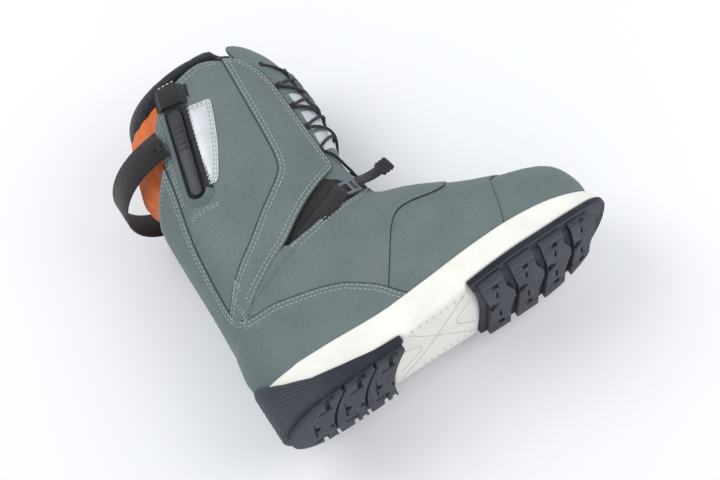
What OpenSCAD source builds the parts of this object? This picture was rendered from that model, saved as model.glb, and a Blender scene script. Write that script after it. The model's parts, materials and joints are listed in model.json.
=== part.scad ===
// Snowboard boot for a right foot, as separate pieces on a flexing ankle.
// X runs from heel to toe, Z up, and the lateral (outer) side of the boot faces -Y.

/* [Boot] */
// Length of the sole from heel to toe
sole_len = 304; // [290:1:320]
// Height of the shaft above the ankle pivot
shaft_rise = 182; // [170:1:195]
// Widest part of the forefoot, across the midsole
forefoot_w = 111; // [106:1:116]

/* [Walls] */
// Thickness of the outer leather panels
leather = 2.4; // [2:0.1:2.6]
// Thickness of the padded liner
liner_pad = 7.6; // [6:0.1:8]
// Depth of the tread lugs
tread = 5; // [4:0.1:6]

/* [Fittings] */
// Width of the heel pull loop webbing
loop_w = 25; // [20:1:28]
// Diameter of the lace
lace_d = 2.6; // [2:0.1:3]

/* [Hidden] */

gap = 0.4;                       // clearance between neighbouring layers
tongue_t = leather + gap;        // depth at which the outer tongue starts
tongue_wall = 2;
liner_t = tongue_t + tongue_wall + 2 * gap;
liner_in = liner_t + liner_pad;
base_len = 304;                  // length that the side profiles are drawn for
base_rise = 182;
pivot = [85, 115];               // ankle pivot in the side profile
kx = sole_len / base_len;
kz = shaft_rise / base_rise;
kw = forefoot_w / 111;
plate = 6;                       // outsole plate above the lugs
loop_back = 10;                  // how far the pull loop stands behind the heel
origin_x = (sole_len - loop_back) / 2;

// ---------------------------------------------------------------- curves
function at(p, i) = p[max(0, min(len(p) - 1, i))];
function mix(a, b, f) = a + (b - a) * f;
function curve(a, b, c, d, f) =
    0.5 * (2 * b + (c - a) * f + (2 * a - 5 * b + 4 * c - d) * f * f
           + (3 * b - 3 * c + d - a) * f * f * f);
// A smooth curve through the rows of p, straight between the last two.
function spline(p, t) =
    let (i = max(0, min(floor(t), len(p) - 2)), f = t - i)
    i == len(p) - 2 ? mix(p[i], p[i + 1], f)
                    : curve(at(p, i - 1), at(p, i), at(p, i + 1), at(p, i + 2), f);
function clamp(v) = max(0, min(1, v));
function smooth(v) = let (c = clamp(v)) c * c * (3 - 2 * c);
function unit(v) = v / norm(v);
function cap(d, r) = d >= r ? 1 : sqrt(max(0, 1 - pow(1 - d / r, 2)));

// ---------------------------------------------------------------- boot surface
// Each shape is a stack of rings. A ring is a bent line in the side profile, from the back,
// through a middle point, to the front; its half width closes with a round nose and tail.
// Columns: back x z, middle x z, front x z, half width, nose radius, tail radius.
FOOT = [[4, 40, 110, 33, 299, 28, 35, 70, 34],
        [2, 51, 108, 48, 300, 46, 36, 72, 36],
        [1, 61, 104, 62, 291, 66, 37, 78, 38],
        [2, 68, 99, 77, 262, 79, 39, 84, 40],
        [3, 74, 94, 91, 232, 94, 41, 84, 42],
        [4, 79, 89, 104, 198, 115, 42, 80, 43],
        [5, 82, 85, 115, 166, 132, 43, 68, 44],
        [5, 82.4, 85, 115.4, 163, 150, 43, 62, 44]];
CUFF = [[5, 83, 85, 116, 160, 168, 44, 60, 45],
        [7, 125, 84, 150, 165, 192, 47, 66, 48],
        [8, 168, 84, 186, 168, 216, 51, 70, 52],
        [10, 212, 86, 224, 169, 242, 55, 70, 56],
        [18, 252, 88, 264, 167, 272, 57, 66, 58],
        [30, 286, 90, 296, 154, 303, 56, 62, 58],
        [34, 300, 92, 308, 150, 314, 55, 60, 56]];
foot_half = [[0, 34], [50, 36], [110, 36], [150, 41], [190, 49], [225, 51], [300, 49]];
foot_shift = [[0, 0], [150, 0], [225, -1.5], [262, 0], [290, 4], [304, 6]];

function lift(z) = z <= pivot[1] ? z : pivot[1] + (z - pivot[1]) * kz;
function ring(s, v) =
    let (r = spline(s, v))
    [kx * r[0], lift(r[1]), kx * r[2], lift(r[3]), kx * r[4], lift(r[5]), r[6], r[7], r[8]];
function is_foot(s) = s[0][1] < 60;
function half_at(s, v, x, w) =
    is_foot(s) ? kw * mix(lookup(x / kx, foot_half), w, smooth(v / 5)) : w;
function shift_at(s, v, x) = is_foot(s) ? kw * lookup(x / kx, foot_shift) * clamp(1 - v / 7) : 0;
function skin(s, v, a) =
    let (r = ring(s, v), u = (1 - cos(a)) / 2,
         lo = u < 0.5, f = lo ? 2 * u : 2 * u - 1,
         x = lo ? mix(r[0], r[2], f) : mix(r[2], r[4], f),
         z = lo ? mix(r[1], r[3], f) : mix(r[3], r[5], f),
         h = half_at(s, v, x, r[6]) * cap(x - r[0], r[8]) * cap(r[4] - x, r[7]))
    [x, shift_at(s, v, x) - (sin(a) >= 0 ? h : -h), z];
function normal(s, v, a) =
    let (e = 0.02, top = len(s) - 1, v0 = max(0, v - e), v1 = min(top, v + e),
         up = skin(s, v1, a) - skin(s, v0, a), along = skin(s, v, a + 0.5) - skin(s, v, a - 0.5))
    unit(cross(along, up));
function deep(s, v, a, t) = skin(s, v, a) - t * normal(s, v, a);
function angle_at(s, v, x) =
    let (r = ring(s, v), lo = x < r[2],
         u = lo ? 0.5 * (x - r[0]) / (r[2] - r[0]) : 0.5 + 0.5 * (x - r[2]) / (r[4] - r[2]))
    acos(1 - 2 * clamp(u));

// ---------------------------------------------------------------- solids from the surface
function quad(a, b, c, d) = [[a, b, c], [a, c, d]];
function strip(a, b, n, flip) =
    [for (i = [0:n - 1]) each flip ? quad(b + i, b + i + 1, a + i + 1, a + i)
                                   : quad(a + i, a + i + 1, b + i + 1, b + i)];

// A panel between depths t0 and t1; spot(p, q) gives [v, angle] for p along and q up the panel.
module panel(s, t0, t1, np, nq, spot) {
    grid = [for (t = [t0, t1]) for (q = [0:nq]) for (p = [0:np])
            let (w = spot(p / np, q / nq)) deep(s, w[0], w[1], t)];
    row = np + 1;
    layer = row * (nq + 1);
    outer = [for (q = [0:nq - 1]) each strip(q * row, (q + 1) * row, np, true)];
    inner = [for (q = [0:nq - 1]) each strip(layer + q * row, layer + (q + 1) * row, np, false)];
    low = strip(0, layer, np, false);
    high = strip(nq * row, layer + nq * row, np, true);
    left = [for (q = [0:nq - 1]) each quad(layer + q * row, layer + (q + 1) * row, (q + 1) * row, q * row)];
    right = [for (q = [0:nq - 1]) each quad(q * row + np, (q + 1) * row + np,
                                            layer + (q + 1) * row + np, layer + q * row + np)];
    polyhedron(grid, concat(outer, inner, low, high, left, right), convexity = 8);
}

// A wall that runs all round between rings v0 and v1.
module tube_wall(s, t0, t1, v0, v1, np, nq) {
    grid = [for (t = [t0, t1]) for (q = [0:nq]) for (p = [0:np - 1])
            deep(s, mix(v0, v1, q / nq), 360 * p / np, t)];
    layer = np * (nq + 1);
    function id(l, q, p) = l * layer + q * np + p % np;
    faces = concat(
        [for (q = [0:nq - 1]) for (p = [0:np - 1])
            each quad(id(0, q, p), id(0, q + 1, p), id(0, q + 1, p + 1), id(0, q, p + 1))],
        [for (q = [0:nq - 1]) for (p = [0:np - 1])
            each quad(id(1, q, p + 1), id(1, q + 1, p + 1), id(1, q + 1, p), id(1, q, p))],
        [for (p = [0:np - 1]) each quad(id(0, 0, p + 1), id(1, 0, p + 1), id(1, 0, p), id(0, 0, p))],
        [for (p = [0:np - 1]) each quad(id(0, nq, p), id(1, nq, p), id(1, nq, p + 1), id(0, nq, p + 1))]);
    polyhedron(grid, faces, convexity = 8);
}

// A slab that fills the boot at depth t between rings v0 and v1, from angle a0 at the back.
module slab(s, t, v0, v1, n, a0 = 0) {
    a = [for (i = [0:n]) mix(a0, 174, i / n)];
    grid = [for (v = [v0, v1]) for (side = [1, -1]) for (w = a) deep(s, v, side * w, t)];
    m = n + 1;
    bottom = strip(0, m, n, false);
    top = strip(2 * m, 3 * m, n, true);
    lateral = strip(0, 2 * m, n, true);
    medial = strip(m, 3 * m, n, false);
    back = quad(0, m, 3 * m, 2 * m);
    front = quad(n, 2 * m + n, 3 * m + n, m + n);
    polyhedron(grid, concat(bottom, top, lateral, medial, back, front), convexity = 4);
}

// A round cord swept along points.
module cord(points, d, sides = 8) {
    n = len(points);
    function way(i) = unit(at(points, i + 1) - at(points, i - 1));
    function frame(i) = let (w = way(i), u = unit(cross(w, [0.31, 0.11, 0.94]))) [u, cross(w, u)];
    rings = [for (i = [0:n - 1]) let (f = frame(i)) for (k = [0:sides - 1])
             points[i] + d / 2 * (cos(360 * k / sides) * f[0] + sin(360 * k / sides) * f[1])];
    walls = [for (i = [0:n - 2]) for (k = [0:sides - 1])
             let (k2 = (k + 1) % sides)
             each quad(i * sides + k, (i + 1) * sides + k, (i + 1) * sides + k2, i * sides + k2)];
    ends = concat([for (k = [1:sides - 2]) [0, k, k + 1]],
                  [for (k = [1:sides - 2]) let (o = (n - 1) * sides) [o, o + k + 1, o + k]]);
    polyhedron(rings, concat(walls, ends), convexity = 10);
}

// Puts its children on the surface: X along the angle, Y up the boot, Z outwards.
module on_skin(s, v, a, out = 0) {
    p = deep(s, v, a, -out);
    z = normal(s, v, a);
    up = skin(s, v + 0.3, a) - skin(s, v - 0.3, a);
    y = unit(up - (up * z) * z);
    x = cross(y, z);
    multmatrix([[x[0], y[0], z[0], p[0]], [x[1], y[1], z[1], p[1]], [x[2], y[2], z[2], p[2]]])
        children();
}

module place() translate([-origin_x, 0, 0]) children();
module mirrored(medial) mirror([0, medial ? 1 : 0, 0]) children();

// ---------------------------------------------------------------- sole
heel_back = [[0, 0], [7, -22], [28, -37]];
lateral_side = [[65, -41], [110, -40], [150, -46], [190, -54], [225, -55.5], [258, -47], [286, -28]];
toe_front = [[301, -8], [304, 7], [297, 28]];
medial_side = [[272, 48], [238, 55.5], [200, 55], [150, 48], [110, 44], [65, 43.5], [28, 38], [7, 22]];
sole_points = concat(heel_back, lateral_side, toe_front, medial_side);
function loop_at(p, t) =
    let (n = len(p), i = floor(t))
    curve(p[(i + n - 1) % n], p[i % n], p[(i + 1) % n], p[(i + 2) % n], t - i);
function sole_edge(out) =
    let (n = len(sole_points), steps = 3)
    [for (i = [0:n * steps - 1])
        let (t = i / steps, p = loop_at(sole_points, t),
             w = loop_at(sole_points, t + 0.05) - loop_at(sole_points, t + n - 0.05), m = unit(w))
        [kx * p[0], kw * p[1]] + out * [m[1], -m[0]]];
module sole_outline(out = 0) polygon(sole_edge(out));

// Hollow edges of the two rubber parts beside the arch: edge x, centre y, radius.
heel_breast = [91, 32, 131];
fore_breast = [179, 0, 221];
heel_end = 106;
fore_start = 181;
module heel_circle(x, extra = 0)
    translate([kx * x + heel_breast[2], heel_breast[1]]) circle(heel_breast[2] + extra, $fn = 180);
module fore_circle(extra = 0)
    translate([kx * fore_breast[0] - fore_breast[2], fore_breast[1]])
        circle(fore_breast[2] + extra, $fn = 240);
module heel_area() difference() {
    translate([-40, -80]) square([kx * heel_end + 40 + 10, 160]);
    heel_circle(heel_breast[0]);
}
module fore_area() difference() {
    translate([kx * fore_start - 30, -80]) square([200, 160]);
    fore_circle();
}
module arch_area() intersection() {
    sole_outline(0);
    heel_circle(heel_breast[0], -gap);
    fore_circle(-gap);
}
module side_cut(points) rotate([90, 0, 0]) linear_extrude(200, center = true) polygon(points);

// The toe end of the sole rocks up off the ground.
rocker_start = 228;
rocker_r = 230;
function rocker(x) = x < kx * rocker_start ? 0 : pow(x - kx * rocker_start, 2) / (2 * rocker_r);
rocker_x = [for (i = [0:6]) kx * mix(rocker_start, 312, i / 6)];
module rocked(low, high) side_cut(concat(
    [[kx * 140, low]], [for (x = rocker_x) [x, low + rocker(x)]],
    [for (i = [6:-1:0]) [rocker_x[i], high + rocker(rocker_x[i])]], [[kx * 140, high]]));

// One tread lug across the heel, between two edges like the one beside the arch.
module heel_band(x) difference() {
    heel_circle(x);
    heel_circle(x + heel_lug);
}
module chevron(x, reach, deep, lean) {
    polygon([[x - lean, -reach], [x + deep - lean, -reach], [x + deep, 0],
             [x + deep - lean, reach], [x - lean, reach], [x, 0]]);
}
heel_rows = [10, 38, 66];
heel_lug = 25;
fore_rows = [184, 211, 238, 265];

module outsole_heel() color([0.27, 0.28, 0.33]) place() {
    translate([0, 0, tread]) linear_extrude(plate) intersection() {
        sole_outline(1);
        heel_area();
    }
    // tread lugs
    linear_extrude(tread + 0.01) intersection() {
        sole_outline(-2);
        heel_area();
        for (x = heel_rows) heel_band(x);
    }
    // cup that climbs round the back of the heel
    intersection() {
        translate([0, 0, tread + plate - 0.01]) linear_extrude(50) difference() {
            sole_outline(3);
            sole_outline(0.3);
        }
        side_cut([[-20, 8], [95, 8], [95, 12], [40, 22], [18, 36], [8, 48], [-20, 52]]);
    }
    translate([0, 0, tread]) linear_extrude(plate) intersection() {
        difference() {
            sole_outline(3);
            sole_outline(0);
        }
        translate([-20, -80]) square([90, 160]);
    }
}

module outsole_forefoot() color([0.27, 0.28, 0.33]) place() {
    intersection() {
        linear_extrude(40) intersection() {
            sole_outline(1);
            fore_area();
        }
        rocked(tread, tread + plate);
    }
    intersection() {
        linear_extrude(40) intersection() {
            sole_outline(-2);
            fore_area();
            for (x = fore_rows) chevron(kx * x, 62, 22, 7);
        }
        rocked(0, tread + 0.01);
    }
}

// Side line of the joint between midsole and upper, a little under the first ring.
function feather(x) = let (r = ring(FOOT, 0)) x < r[2] ? mix(r[1], r[3], (x - r[0]) / (r[2] - r[0]))
                                                       : mix(r[3], r[5], (x - r[2]) / (r[4] - r[2]));
cushion = [16, 74, 26, 3.4];     // start, end, half width, depth of the heel cushion
module midsole() color([0.94, 0.93, 0.88]) place() difference() {
    union() {
        intersection() {
            translate([0, 0, 2]) linear_extrude(60) sole_outline(0);
            side_cut(concat([[-20, tread + plate]],
                            [for (x = rocker_x) [x, tread + plate + rocker(x)]],
                            [for (x = [340, 299, 110, 4, -20]) [x, feather(kx * x) - gap]]));
        }
        translate([0, 0, tread + 2]) linear_extrude(plate) arch_area();
    }
    translate([0, 0, feather(kx * 45) - gap - cushion[3] - gap]) linear_extrude(20)
        heel_cushion_outline(gap);
}
module heel_cushion_outline(extra) {
    translate([kx * (cushion[0] + cushion[2]), 0]) circle(cushion[2] + extra, $fn = 48);
    translate([kx * (cushion[0] + cushion[2]), -cushion[2] - extra])
        square([kx * (cushion[1] - cushion[0] - cushion[2]) + extra, 2 * (cushion[2] + extra)]);
}
module heel_cushion() color([0.35, 0.55, 0.75]) place()
    translate([0, 0, feather(kx * 45) - gap - cushion[3]]) linear_extrude(cushion[3] - 2.4)
        heel_cushion_outline(0);

module lasting_board() color([0.75, 0.7, 0.6]) place() slab(FOOT, leather + gap, 0.02, 0.12, 30, 8);

// ---------------------------------------------------------------- lower upper
counter_edge = 97;               // angle where the heel counter and the front seam meet
counter_v = 4.9;
seam_v = 4.5;
function low_edge(a) = a < counter_edge ? counter_v * sqrt(max(0, 1 - pow(a / counter_edge, 2)))
                                        : seam_v * pow((a - counter_edge) / (180 - counter_edge), 0.7);
module quarter() panel(FOOT, 0, leather, 34, 8, function(p, q)
    let (a = mix(1.5, 178.5, p)) [mix(low_edge(a) + 0.1, 6, q), a]);
module quarter_lateral() color([0.46, 0.51, 0.5]) place() quarter();
module quarter_medial() color([0.44, 0.49, 0.48]) place() panel(FOOT, 0, leather, 34, 8, function(p, q)
    let (a = mix(178.5, 1.5, p)) [mix(low_edge(a) + 0.1, 6, q), 360 - a]);
module heel_counter() color([0.4, 0.45, 0.44]) place() panel(FOOT, 0, leather, 40, 7, function(p, q)
    let (a = mix(-counter_edge + 1, counter_edge - 1, p)) [mix(0, low_edge(abs(a)) - 0.02, q), a]);

throat_low = 5.6;                // the fold at the throat is ring 6, so a row lies on it
throat_high = 6.8;
toe_v = 3.6;
function toe_seam(v) = 222 + 17 * v / toe_v;
function toe_angle(v) = angle_at(FOOT, v, kx * toe_seam(v));
module toe_cap() color([0.46, 0.51, 0.5]) place() panel(FOOT, 0, leather, 26, 9, function(p, q)
    let (v = (toe_v - 0.08) * q, a = toe_angle(v) + 0.7) [v, mix(a, 360 - a, p)]);
module vamp() color([0.48, 0.53, 0.52]) place() panel(FOOT, 0, leather, 36, 7, function(p, q)
    let (w = 1 - abs(1 - 2 * p), a0 = mix(counter_edge + 0.8, 180, w), v0 = low_edge(a0),
         v1 = toe_v * pow(w, 0.8), a1 = w > 0.999 ? 180 : toe_angle(v1) - 0.6,
         a = mix(a0, a1, q), v = mix(v0, v1, q))
    [v, p > 0.5 ? a : 360 - a]);

module gusset(a0, a1) panel(FOOT, tongue_t, tongue_t + 1, 14, 6, function(p, q)
    [mix(throat_low, throat_high, q), mix(a0, a1, p)]);
module gusset_lateral() color([0.09, 0.09, 0.1]) place() gusset(94, 149);
module gusset_medial() color([0.09, 0.09, 0.1]) place() gusset(211, 266);
module tongue_instep() color([0.35, 0.39, 0.38]) place() panel(FOOT, tongue_t, tongue_t + tongue_wall,
    12, 6, function(p, q) [mix(throat_low, throat_high, q), mix(151, 209, p)]);

// ---------------------------------------------------------------- liner, foot part
module liner_sole() color([0.2, 0.2, 0.22]) place() slab(FOOT, liner_t, 0.16, 0.34, 30, 8);
module liner_foot() color([0.12, 0.12, 0.13]) place()
    tube_wall(FOOT, liner_t, liner_in, 0.4, 6.8, 36, 16);
module footbed() color([0.3, 0.3, 0.32]) place() slab(FOOT, liner_in + 1, 0.5, 0.7, 28, 12);

// ---------------------------------------------------------------- instep lacing and ankle strap
instep_rows = [6.35, 6.7];
module instep_lace_loops() color([0.1, 0.1, 0.1]) place()
    for (v = instep_rows) for (a = [163, 197]) on_skin(FOOT, v, a, -1.5) difference() {
        cylinder(h = 2, r = 3.8, $fn = 32);
        translate([0, 0, -1]) cylinder(h = 5, r = 1.8, $fn = 32);
    }
module lace_lower() color([0.07, 0.07, 0.07]) place()
    cord(concat([for (i = [0:6]) deep(FOOT, instep_rows[0], mix(169, 191, i / 6), tongue_t - gap - lace_d / 2)],
                [for (i = [0:6]) deep(FOOT, instep_rows[1], mix(191, 169, i / 6), tongue_t - gap - lace_d / 2)]),
         lace_d);
module ankle_strap() color([0.08, 0.08, 0.09]) place() panel(FOOT, 0.9, 2.4, 14, 3, function(p, q)
    [mix(6.16, 6.62, q) + 0.25 * p, mix(100, 133, p)]);

buckle_v = 6.66;
buckle_a = 144;
buckle_size = [16, 12, 3];
buckle_window = [4.4, 8, 5];
tail_start = 8;                  // distance from buckle centre to the tail
tail_size = [24, 9, 1.6];
end_size = [13, 12, 2.8];
end_ridge = [1.6, 12, 0.9];
module at_buckle(out) place() on_skin(FOOT, buckle_v, buckle_a, out) children();
module ladder_buckle() color([0.5, 0.52, 0.54]) at_buckle(0.6) difference() {
    translate([-buckle_size[0] / 2, -buckle_size[1] / 2, 0]) cube(buckle_size);
    for (x = [-5.4, 1]) translate([x, -buckle_window[1] / 2, -1]) cube(buckle_window);
}
module strap_tail() color([0.08, 0.08, 0.09]) at_buckle(4)
    translate([tail_start, -tail_size[1] / 2, 0]) cube(tail_size);
module strap_end() color([0.12, 0.12, 0.13]) at_buckle(3.4)
    translate([tail_start + tail_size[0] + gap, -end_size[1] / 2, 0]) union() {
        cube(end_size);
        for (x = [2, 6, 10]) translate([x, 0, end_size[2] - 0.1]) cube(end_ridge);
    }

// ---------------------------------------------------------------- cuff
back_a = 40;
eyestay_a = 112;
edge_a = 140;
top_v = 4.98;
notch_v = 3;
function cuff_top(a) = mix(notch_v + 0.15, top_v, smooth((a - back_a) / 36));
module cuff_side() panel(CUFF, 0, leather, 16, 14, function(p, q)
    let (a = mix(back_a + 0.5, eyestay_a - 0.5, p)) [mix(0, cuff_top(a), q), a]);
module eyestay() panel(CUFF, 0, leather, 7, 14, function(p, q)
    [mix(0, top_v, q), mix(eyestay_a + 0.3, edge_a, p)]);
module cuff_panel_lateral() color([0.46, 0.51, 0.5]) place() cuff_side();
module cuff_panel_medial() color([0.46, 0.51, 0.5]) place() mirrored(true) cuff_side();
module eyestay_lateral() color([0.42, 0.47, 0.46]) place() eyestay();
module eyestay_medial() color([0.42, 0.47, 0.46]) place() mirrored(true) eyestay();
module back_panel() color([0.44, 0.49, 0.48]) place() panel(CUFF, 0, leather, 18, 10, function(p, q)
    [mix(0, notch_v, q), mix(-back_a, back_a, p)]);

tongue_a = 128;                  // edge of the tongue; it runs across the front to 360 - tongue_a
module tongue_shaft() color([0.45, 0.5, 0.49]) place() panel(CUFF, tongue_t, tongue_t + tongue_wall,
    16, 14, function(p, q) [mix(0.05, 5.45, q), mix(tongue_a, 360 - tongue_a, p)]);
patch_rows = [1.3, 2.1, 2.9];
module tongue_patches() color([0.75, 0.77, 0.78]) place() for (v = patch_rows)
    panel(CUFF, tongue_t - gap - 0.4, tongue_t - gap + 0.2, 6, 3, function(p, q)
        [v + 0.5 * q, mix(160, 200, p)]);
guide_low = 3.43;
guide_high = 4.17;
guide_t = 4;                     // height of the guide over the tongue
guide_holes = [3.62, 3.98];
module lace_guide() color([0.25, 0.26, 0.28]) place() difference() {
    panel(CUFF, tongue_t - gap - guide_t, tongue_t - gap, 8, 6, function(p, q)
        [mix(guide_low, guide_high, q), mix(166, 194, p)]);
    for (v = guide_holes) translate(deep(CUFF, v, 180, tongue_t - gap - 0.6 * guide_t))
        rotate([90, 0, 0]) cylinder(h = 80, r = lace_d / 2 + 0.3, center = true, $fn = 32);
}
lace_rows = [0.9, 1.75, 2.55, 3.3];
lace_lie = tongue_t - gap - 0.8 - lace_d / 2;
function lace_row(v, right) = [for (i = [0:8]) deep(CUFF, v, right ? mix(217, 143, i / 8)
                                                               : mix(143, 217, i / 8), lace_lie)];
module lace_upper() color([0.07, 0.07, 0.07]) place()
    cord([for (i = [0:len(lace_rows) - 1]) each lace_row(lace_rows[i], i % 2 == 1)], lace_d);
// Flat webbing loops under the eyestay's edge, where each lace turns.
eye_rows = concat(lace_rows, [4.1]);
eye_a = 144;
eye_size = [4, 8, 0.5];          // length of the tab, width, thickness
eye_hole = 1.6;
module lace_loops() for (v = eye_rows) on_skin(CUFF, v, eye_a, gap - tongue_t) difference() {
    union() {
        cylinder(h = eye_size[2], d = eye_size[1], $fn = 32);
        translate([-eye_size[0], -eye_size[1] / 2, 0]) cube(eye_size);
    }
    translate([0, 0, -1]) cylinder(h = eye_size[2] + 2, r = eye_hole, $fn = 32);
}
module lace_loops_lateral() color([0.1, 0.1, 0.11]) place() lace_loops();
module lace_loops_medial() color([0.1, 0.1, 0.11]) place() mirrored(true) lace_loops();

// ---------------------------------------------------------------- liner, cuff part
liner_front = 149;
module liner_cuff() color([0.93, 0.45, 0.2]) place() panel(CUFF, liner_t, liner_in, 36, 13,
    function(p, q) [mix(0.02, 4.9, q), mix(-liner_front, liner_front, p)]);
collar_end = 120;
module liner_collar() color([0.06, 0.06, 0.07]) place() panel(CUFF, 0.6, liner_in, 36, 4,
    function(p, q) [mix(5.03, 5.6, q), mix(-collar_end, collar_end, p)]);
module liner_tongue() color([0.1, 0.1, 0.11]) place() panel(CUFF, liner_t, liner_in, 12, 14,
    function(p, q) [mix(0.1, 5.35, q), mix(liner_front + 2, 358 - liner_front, p)]);

// ---------------------------------------------------------------- lace handles and pockets
pocket_v = 3.22;
pocket_a = 69;
pocket_lean = -11;
pocket_low = -44;                // lower end of the pocket, from its place on the cuff
pocket_size = [20, 84, 5.2];
channel = [15, 100, 3.2];        // open at the top
handle_low = -32;
handle_size = [12.5, 66, 2.2];
keeper_up = 52;
keeper_size = [21, 10, 5.2];
keeper_slot = [15.6, 16, 3.2];
keeper_sink = 2.5;               // how far the keeper reaches down to the curved panel
module at_pocket(medial) mirrored(medial) on_skin(CUFF, pocket_v, pocket_a, 0.7)
    rotate([0, 0, pocket_lean]) children();
module pocket(medial) at_pocket(medial) difference() {
    translate([-pocket_size[0] / 2, pocket_low, 0]) cube(pocket_size);
    translate([-channel[0] / 2, pocket_low + 4, 1]) cube(channel);
}
module handle(medial) at_pocket(medial) translate([0, handle_low, 1.5]) linear_extrude(handle_size[2])
    difference() {
        union() {
            translate([-handle_size[0] / 2, 0]) square([handle_size[0], handle_size[1]]);
            for (y = [0, handle_size[1]]) translate([0, y]) circle(handle_size[0] / 2, $fn = 48);
        }
        translate([0, handle_size[1]]) circle(2.4, $fn = 32);
    }
module reflective(medial) at_pocket(medial) translate([pocket_size[0] / 2 + 0.5, pocket_low + 8, -0.1])
    linear_extrude(1) polygon([[0, 0], [10, 6], [16, 70], [0, 74]]);
module keeper(medial) at_pocket(medial) translate([0, keeper_up, 0]) difference() {
    translate([-keeper_size[0] / 2, -keeper_size[1] / 2, -keeper_sink])
        cube(keeper_size + [0, 0, keeper_sink]);
    translate([-keeper_slot[0] / 2, -keeper_slot[1] / 2, 1]) cube(keeper_slot);
}
module pocket_lateral() color([0.12, 0.12, 0.13]) place() pocket(false);
module pocket_medial() color([0.12, 0.12, 0.13]) place() pocket(true);
module handle_lateral() color([0.16, 0.18, 0.22]) place() handle(false);
module handle_medial() color([0.16, 0.18, 0.22]) place() handle(true);
module reflective_lateral() color([0.82, 0.83, 0.84]) place() reflective(false);
module reflective_medial() color([0.82, 0.83, 0.84]) place() reflective(true);
module keeper_lateral() color([0.1, 0.1, 0.11]) place() keeper(false);
module keeper_medial() color([0.1, 0.1, 0.11]) place() keeper(true);

// ---------------------------------------------------------------- pull loop
loop_pivot = [44, 250];          // hinge line of the loop in the side profile
loop_half = 56;
anchor_t = 2.7;                  // from the loop's inner face to the shell
function loop_point(f) =
    let (a = 180 * f, s = pow(sin(a), 0.75))
    [mix(loop_pivot[0], -loop_back / kx + 1, s) * kx, -loop_half * cos(a) * (1 - 0.1 * s),
     lift(loop_pivot[1] - 4 * s)];
loop_t = 1.8;
module pull_loop() color([0.1, 0.1, 0.11]) place() {
    n = 28;
    mid = [for (i = [0:n]) loop_point(i / n)];
    side = [for (i = [0:n]) let (w = at(mid, i + 1) - at(mid, i - 1)) unit([w[1], -w[0], 0])];
    grid = [for (i = [0:n]) for (o = [[-1, -1], [1, -1], [1, 1], [-1, 1]])
            mid[i] + side[i] * o[0] * loop_t / 2 + [0, 0, o[1] * loop_w / 2]];
    walls = [for (i = [0:n - 1]) for (k = [0:3]) let (m = (k + 1) % 4)
             each quad(i * 4 + m, i * 4 + 4 + m, i * 4 + 4 + k, i * 4 + k)];
    polyhedron(grid, concat(walls, quad(3, 2, 1, 0), quad(4 * n, 4 * n + 1, 4 * n + 2, 4 * n + 3)));
}
module loop_anchors() color([0.13, 0.13, 0.14]) place() for (m = [false, true]) mirrored(m)
    translate([kx * loop_pivot[0], -loop_half + 1.6, lift(loop_pivot[1])]) rotate([-90, 0, 0])
        cylinder(h = anchor_t, r = 4, $fn = 32);

outsole_heel();
outsole_forefoot();
midsole();
heel_cushion();
lasting_board();
toe_cap();
vamp();
quarter_lateral();
quarter_medial();
heel_counter();
gusset_lateral();
gusset_medial();
tongue_instep();
liner_sole();
liner_foot();
footbed();
instep_lace_loops();
lace_lower();
ankle_strap();
ladder_buckle();
strap_tail();
strap_end();
cuff_panel_lateral();
cuff_panel_medial();
eyestay_lateral();
eyestay_medial();
back_panel();
tongue_shaft();
tongue_patches();
lace_guide();
lace_upper();
lace_loops_lateral();
lace_loops_medial();
liner_cuff();
liner_collar();
liner_tongue();
pocket_lateral();
pocket_medial();
reflective_lateral();
reflective_medial();
keeper_lateral();
keeper_medial();
handle_lateral();
handle_medial();
loop_anchors();
pull_loop();
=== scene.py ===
"""Looks of a snowboard boot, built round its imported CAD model.
Lengths are millimetres from the back of the heel until a mesh is made. The lateral side faces -Y."""
import json
import math
import bpy
import numpy as np
from mathutils import Matrix, Vector
from mathutils.geometry import delaunay_2d_cdt


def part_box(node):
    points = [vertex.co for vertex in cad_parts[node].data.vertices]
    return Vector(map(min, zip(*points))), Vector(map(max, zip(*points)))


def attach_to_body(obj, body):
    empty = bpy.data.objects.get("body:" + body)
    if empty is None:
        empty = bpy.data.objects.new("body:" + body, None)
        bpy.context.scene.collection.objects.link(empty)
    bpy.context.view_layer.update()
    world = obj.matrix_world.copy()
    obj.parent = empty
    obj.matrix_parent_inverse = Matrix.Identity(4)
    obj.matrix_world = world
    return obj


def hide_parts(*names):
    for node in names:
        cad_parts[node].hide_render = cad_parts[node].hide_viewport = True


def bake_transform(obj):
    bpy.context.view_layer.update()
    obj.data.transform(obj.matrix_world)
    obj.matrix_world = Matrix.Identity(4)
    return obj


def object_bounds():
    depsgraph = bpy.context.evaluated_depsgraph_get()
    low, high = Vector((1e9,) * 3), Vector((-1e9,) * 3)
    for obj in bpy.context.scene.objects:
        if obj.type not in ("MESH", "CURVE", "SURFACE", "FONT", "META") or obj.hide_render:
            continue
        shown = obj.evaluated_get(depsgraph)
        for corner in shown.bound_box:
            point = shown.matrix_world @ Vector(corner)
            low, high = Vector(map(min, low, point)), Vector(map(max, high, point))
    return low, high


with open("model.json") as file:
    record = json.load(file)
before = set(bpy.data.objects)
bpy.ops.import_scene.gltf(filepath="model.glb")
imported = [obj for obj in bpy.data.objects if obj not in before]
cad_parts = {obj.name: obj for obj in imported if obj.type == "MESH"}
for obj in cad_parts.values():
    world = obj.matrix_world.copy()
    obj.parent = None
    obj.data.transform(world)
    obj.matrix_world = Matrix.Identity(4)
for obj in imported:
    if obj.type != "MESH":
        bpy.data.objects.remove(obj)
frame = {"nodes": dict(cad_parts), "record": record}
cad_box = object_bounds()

MM = 0.001
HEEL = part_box("midsole")[0][0] / MM          # where the back of the heel lies in the frame


def metres(points):
    return (np.asarray(points, float) + (HEEL, 0, 0)) * MM


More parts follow.
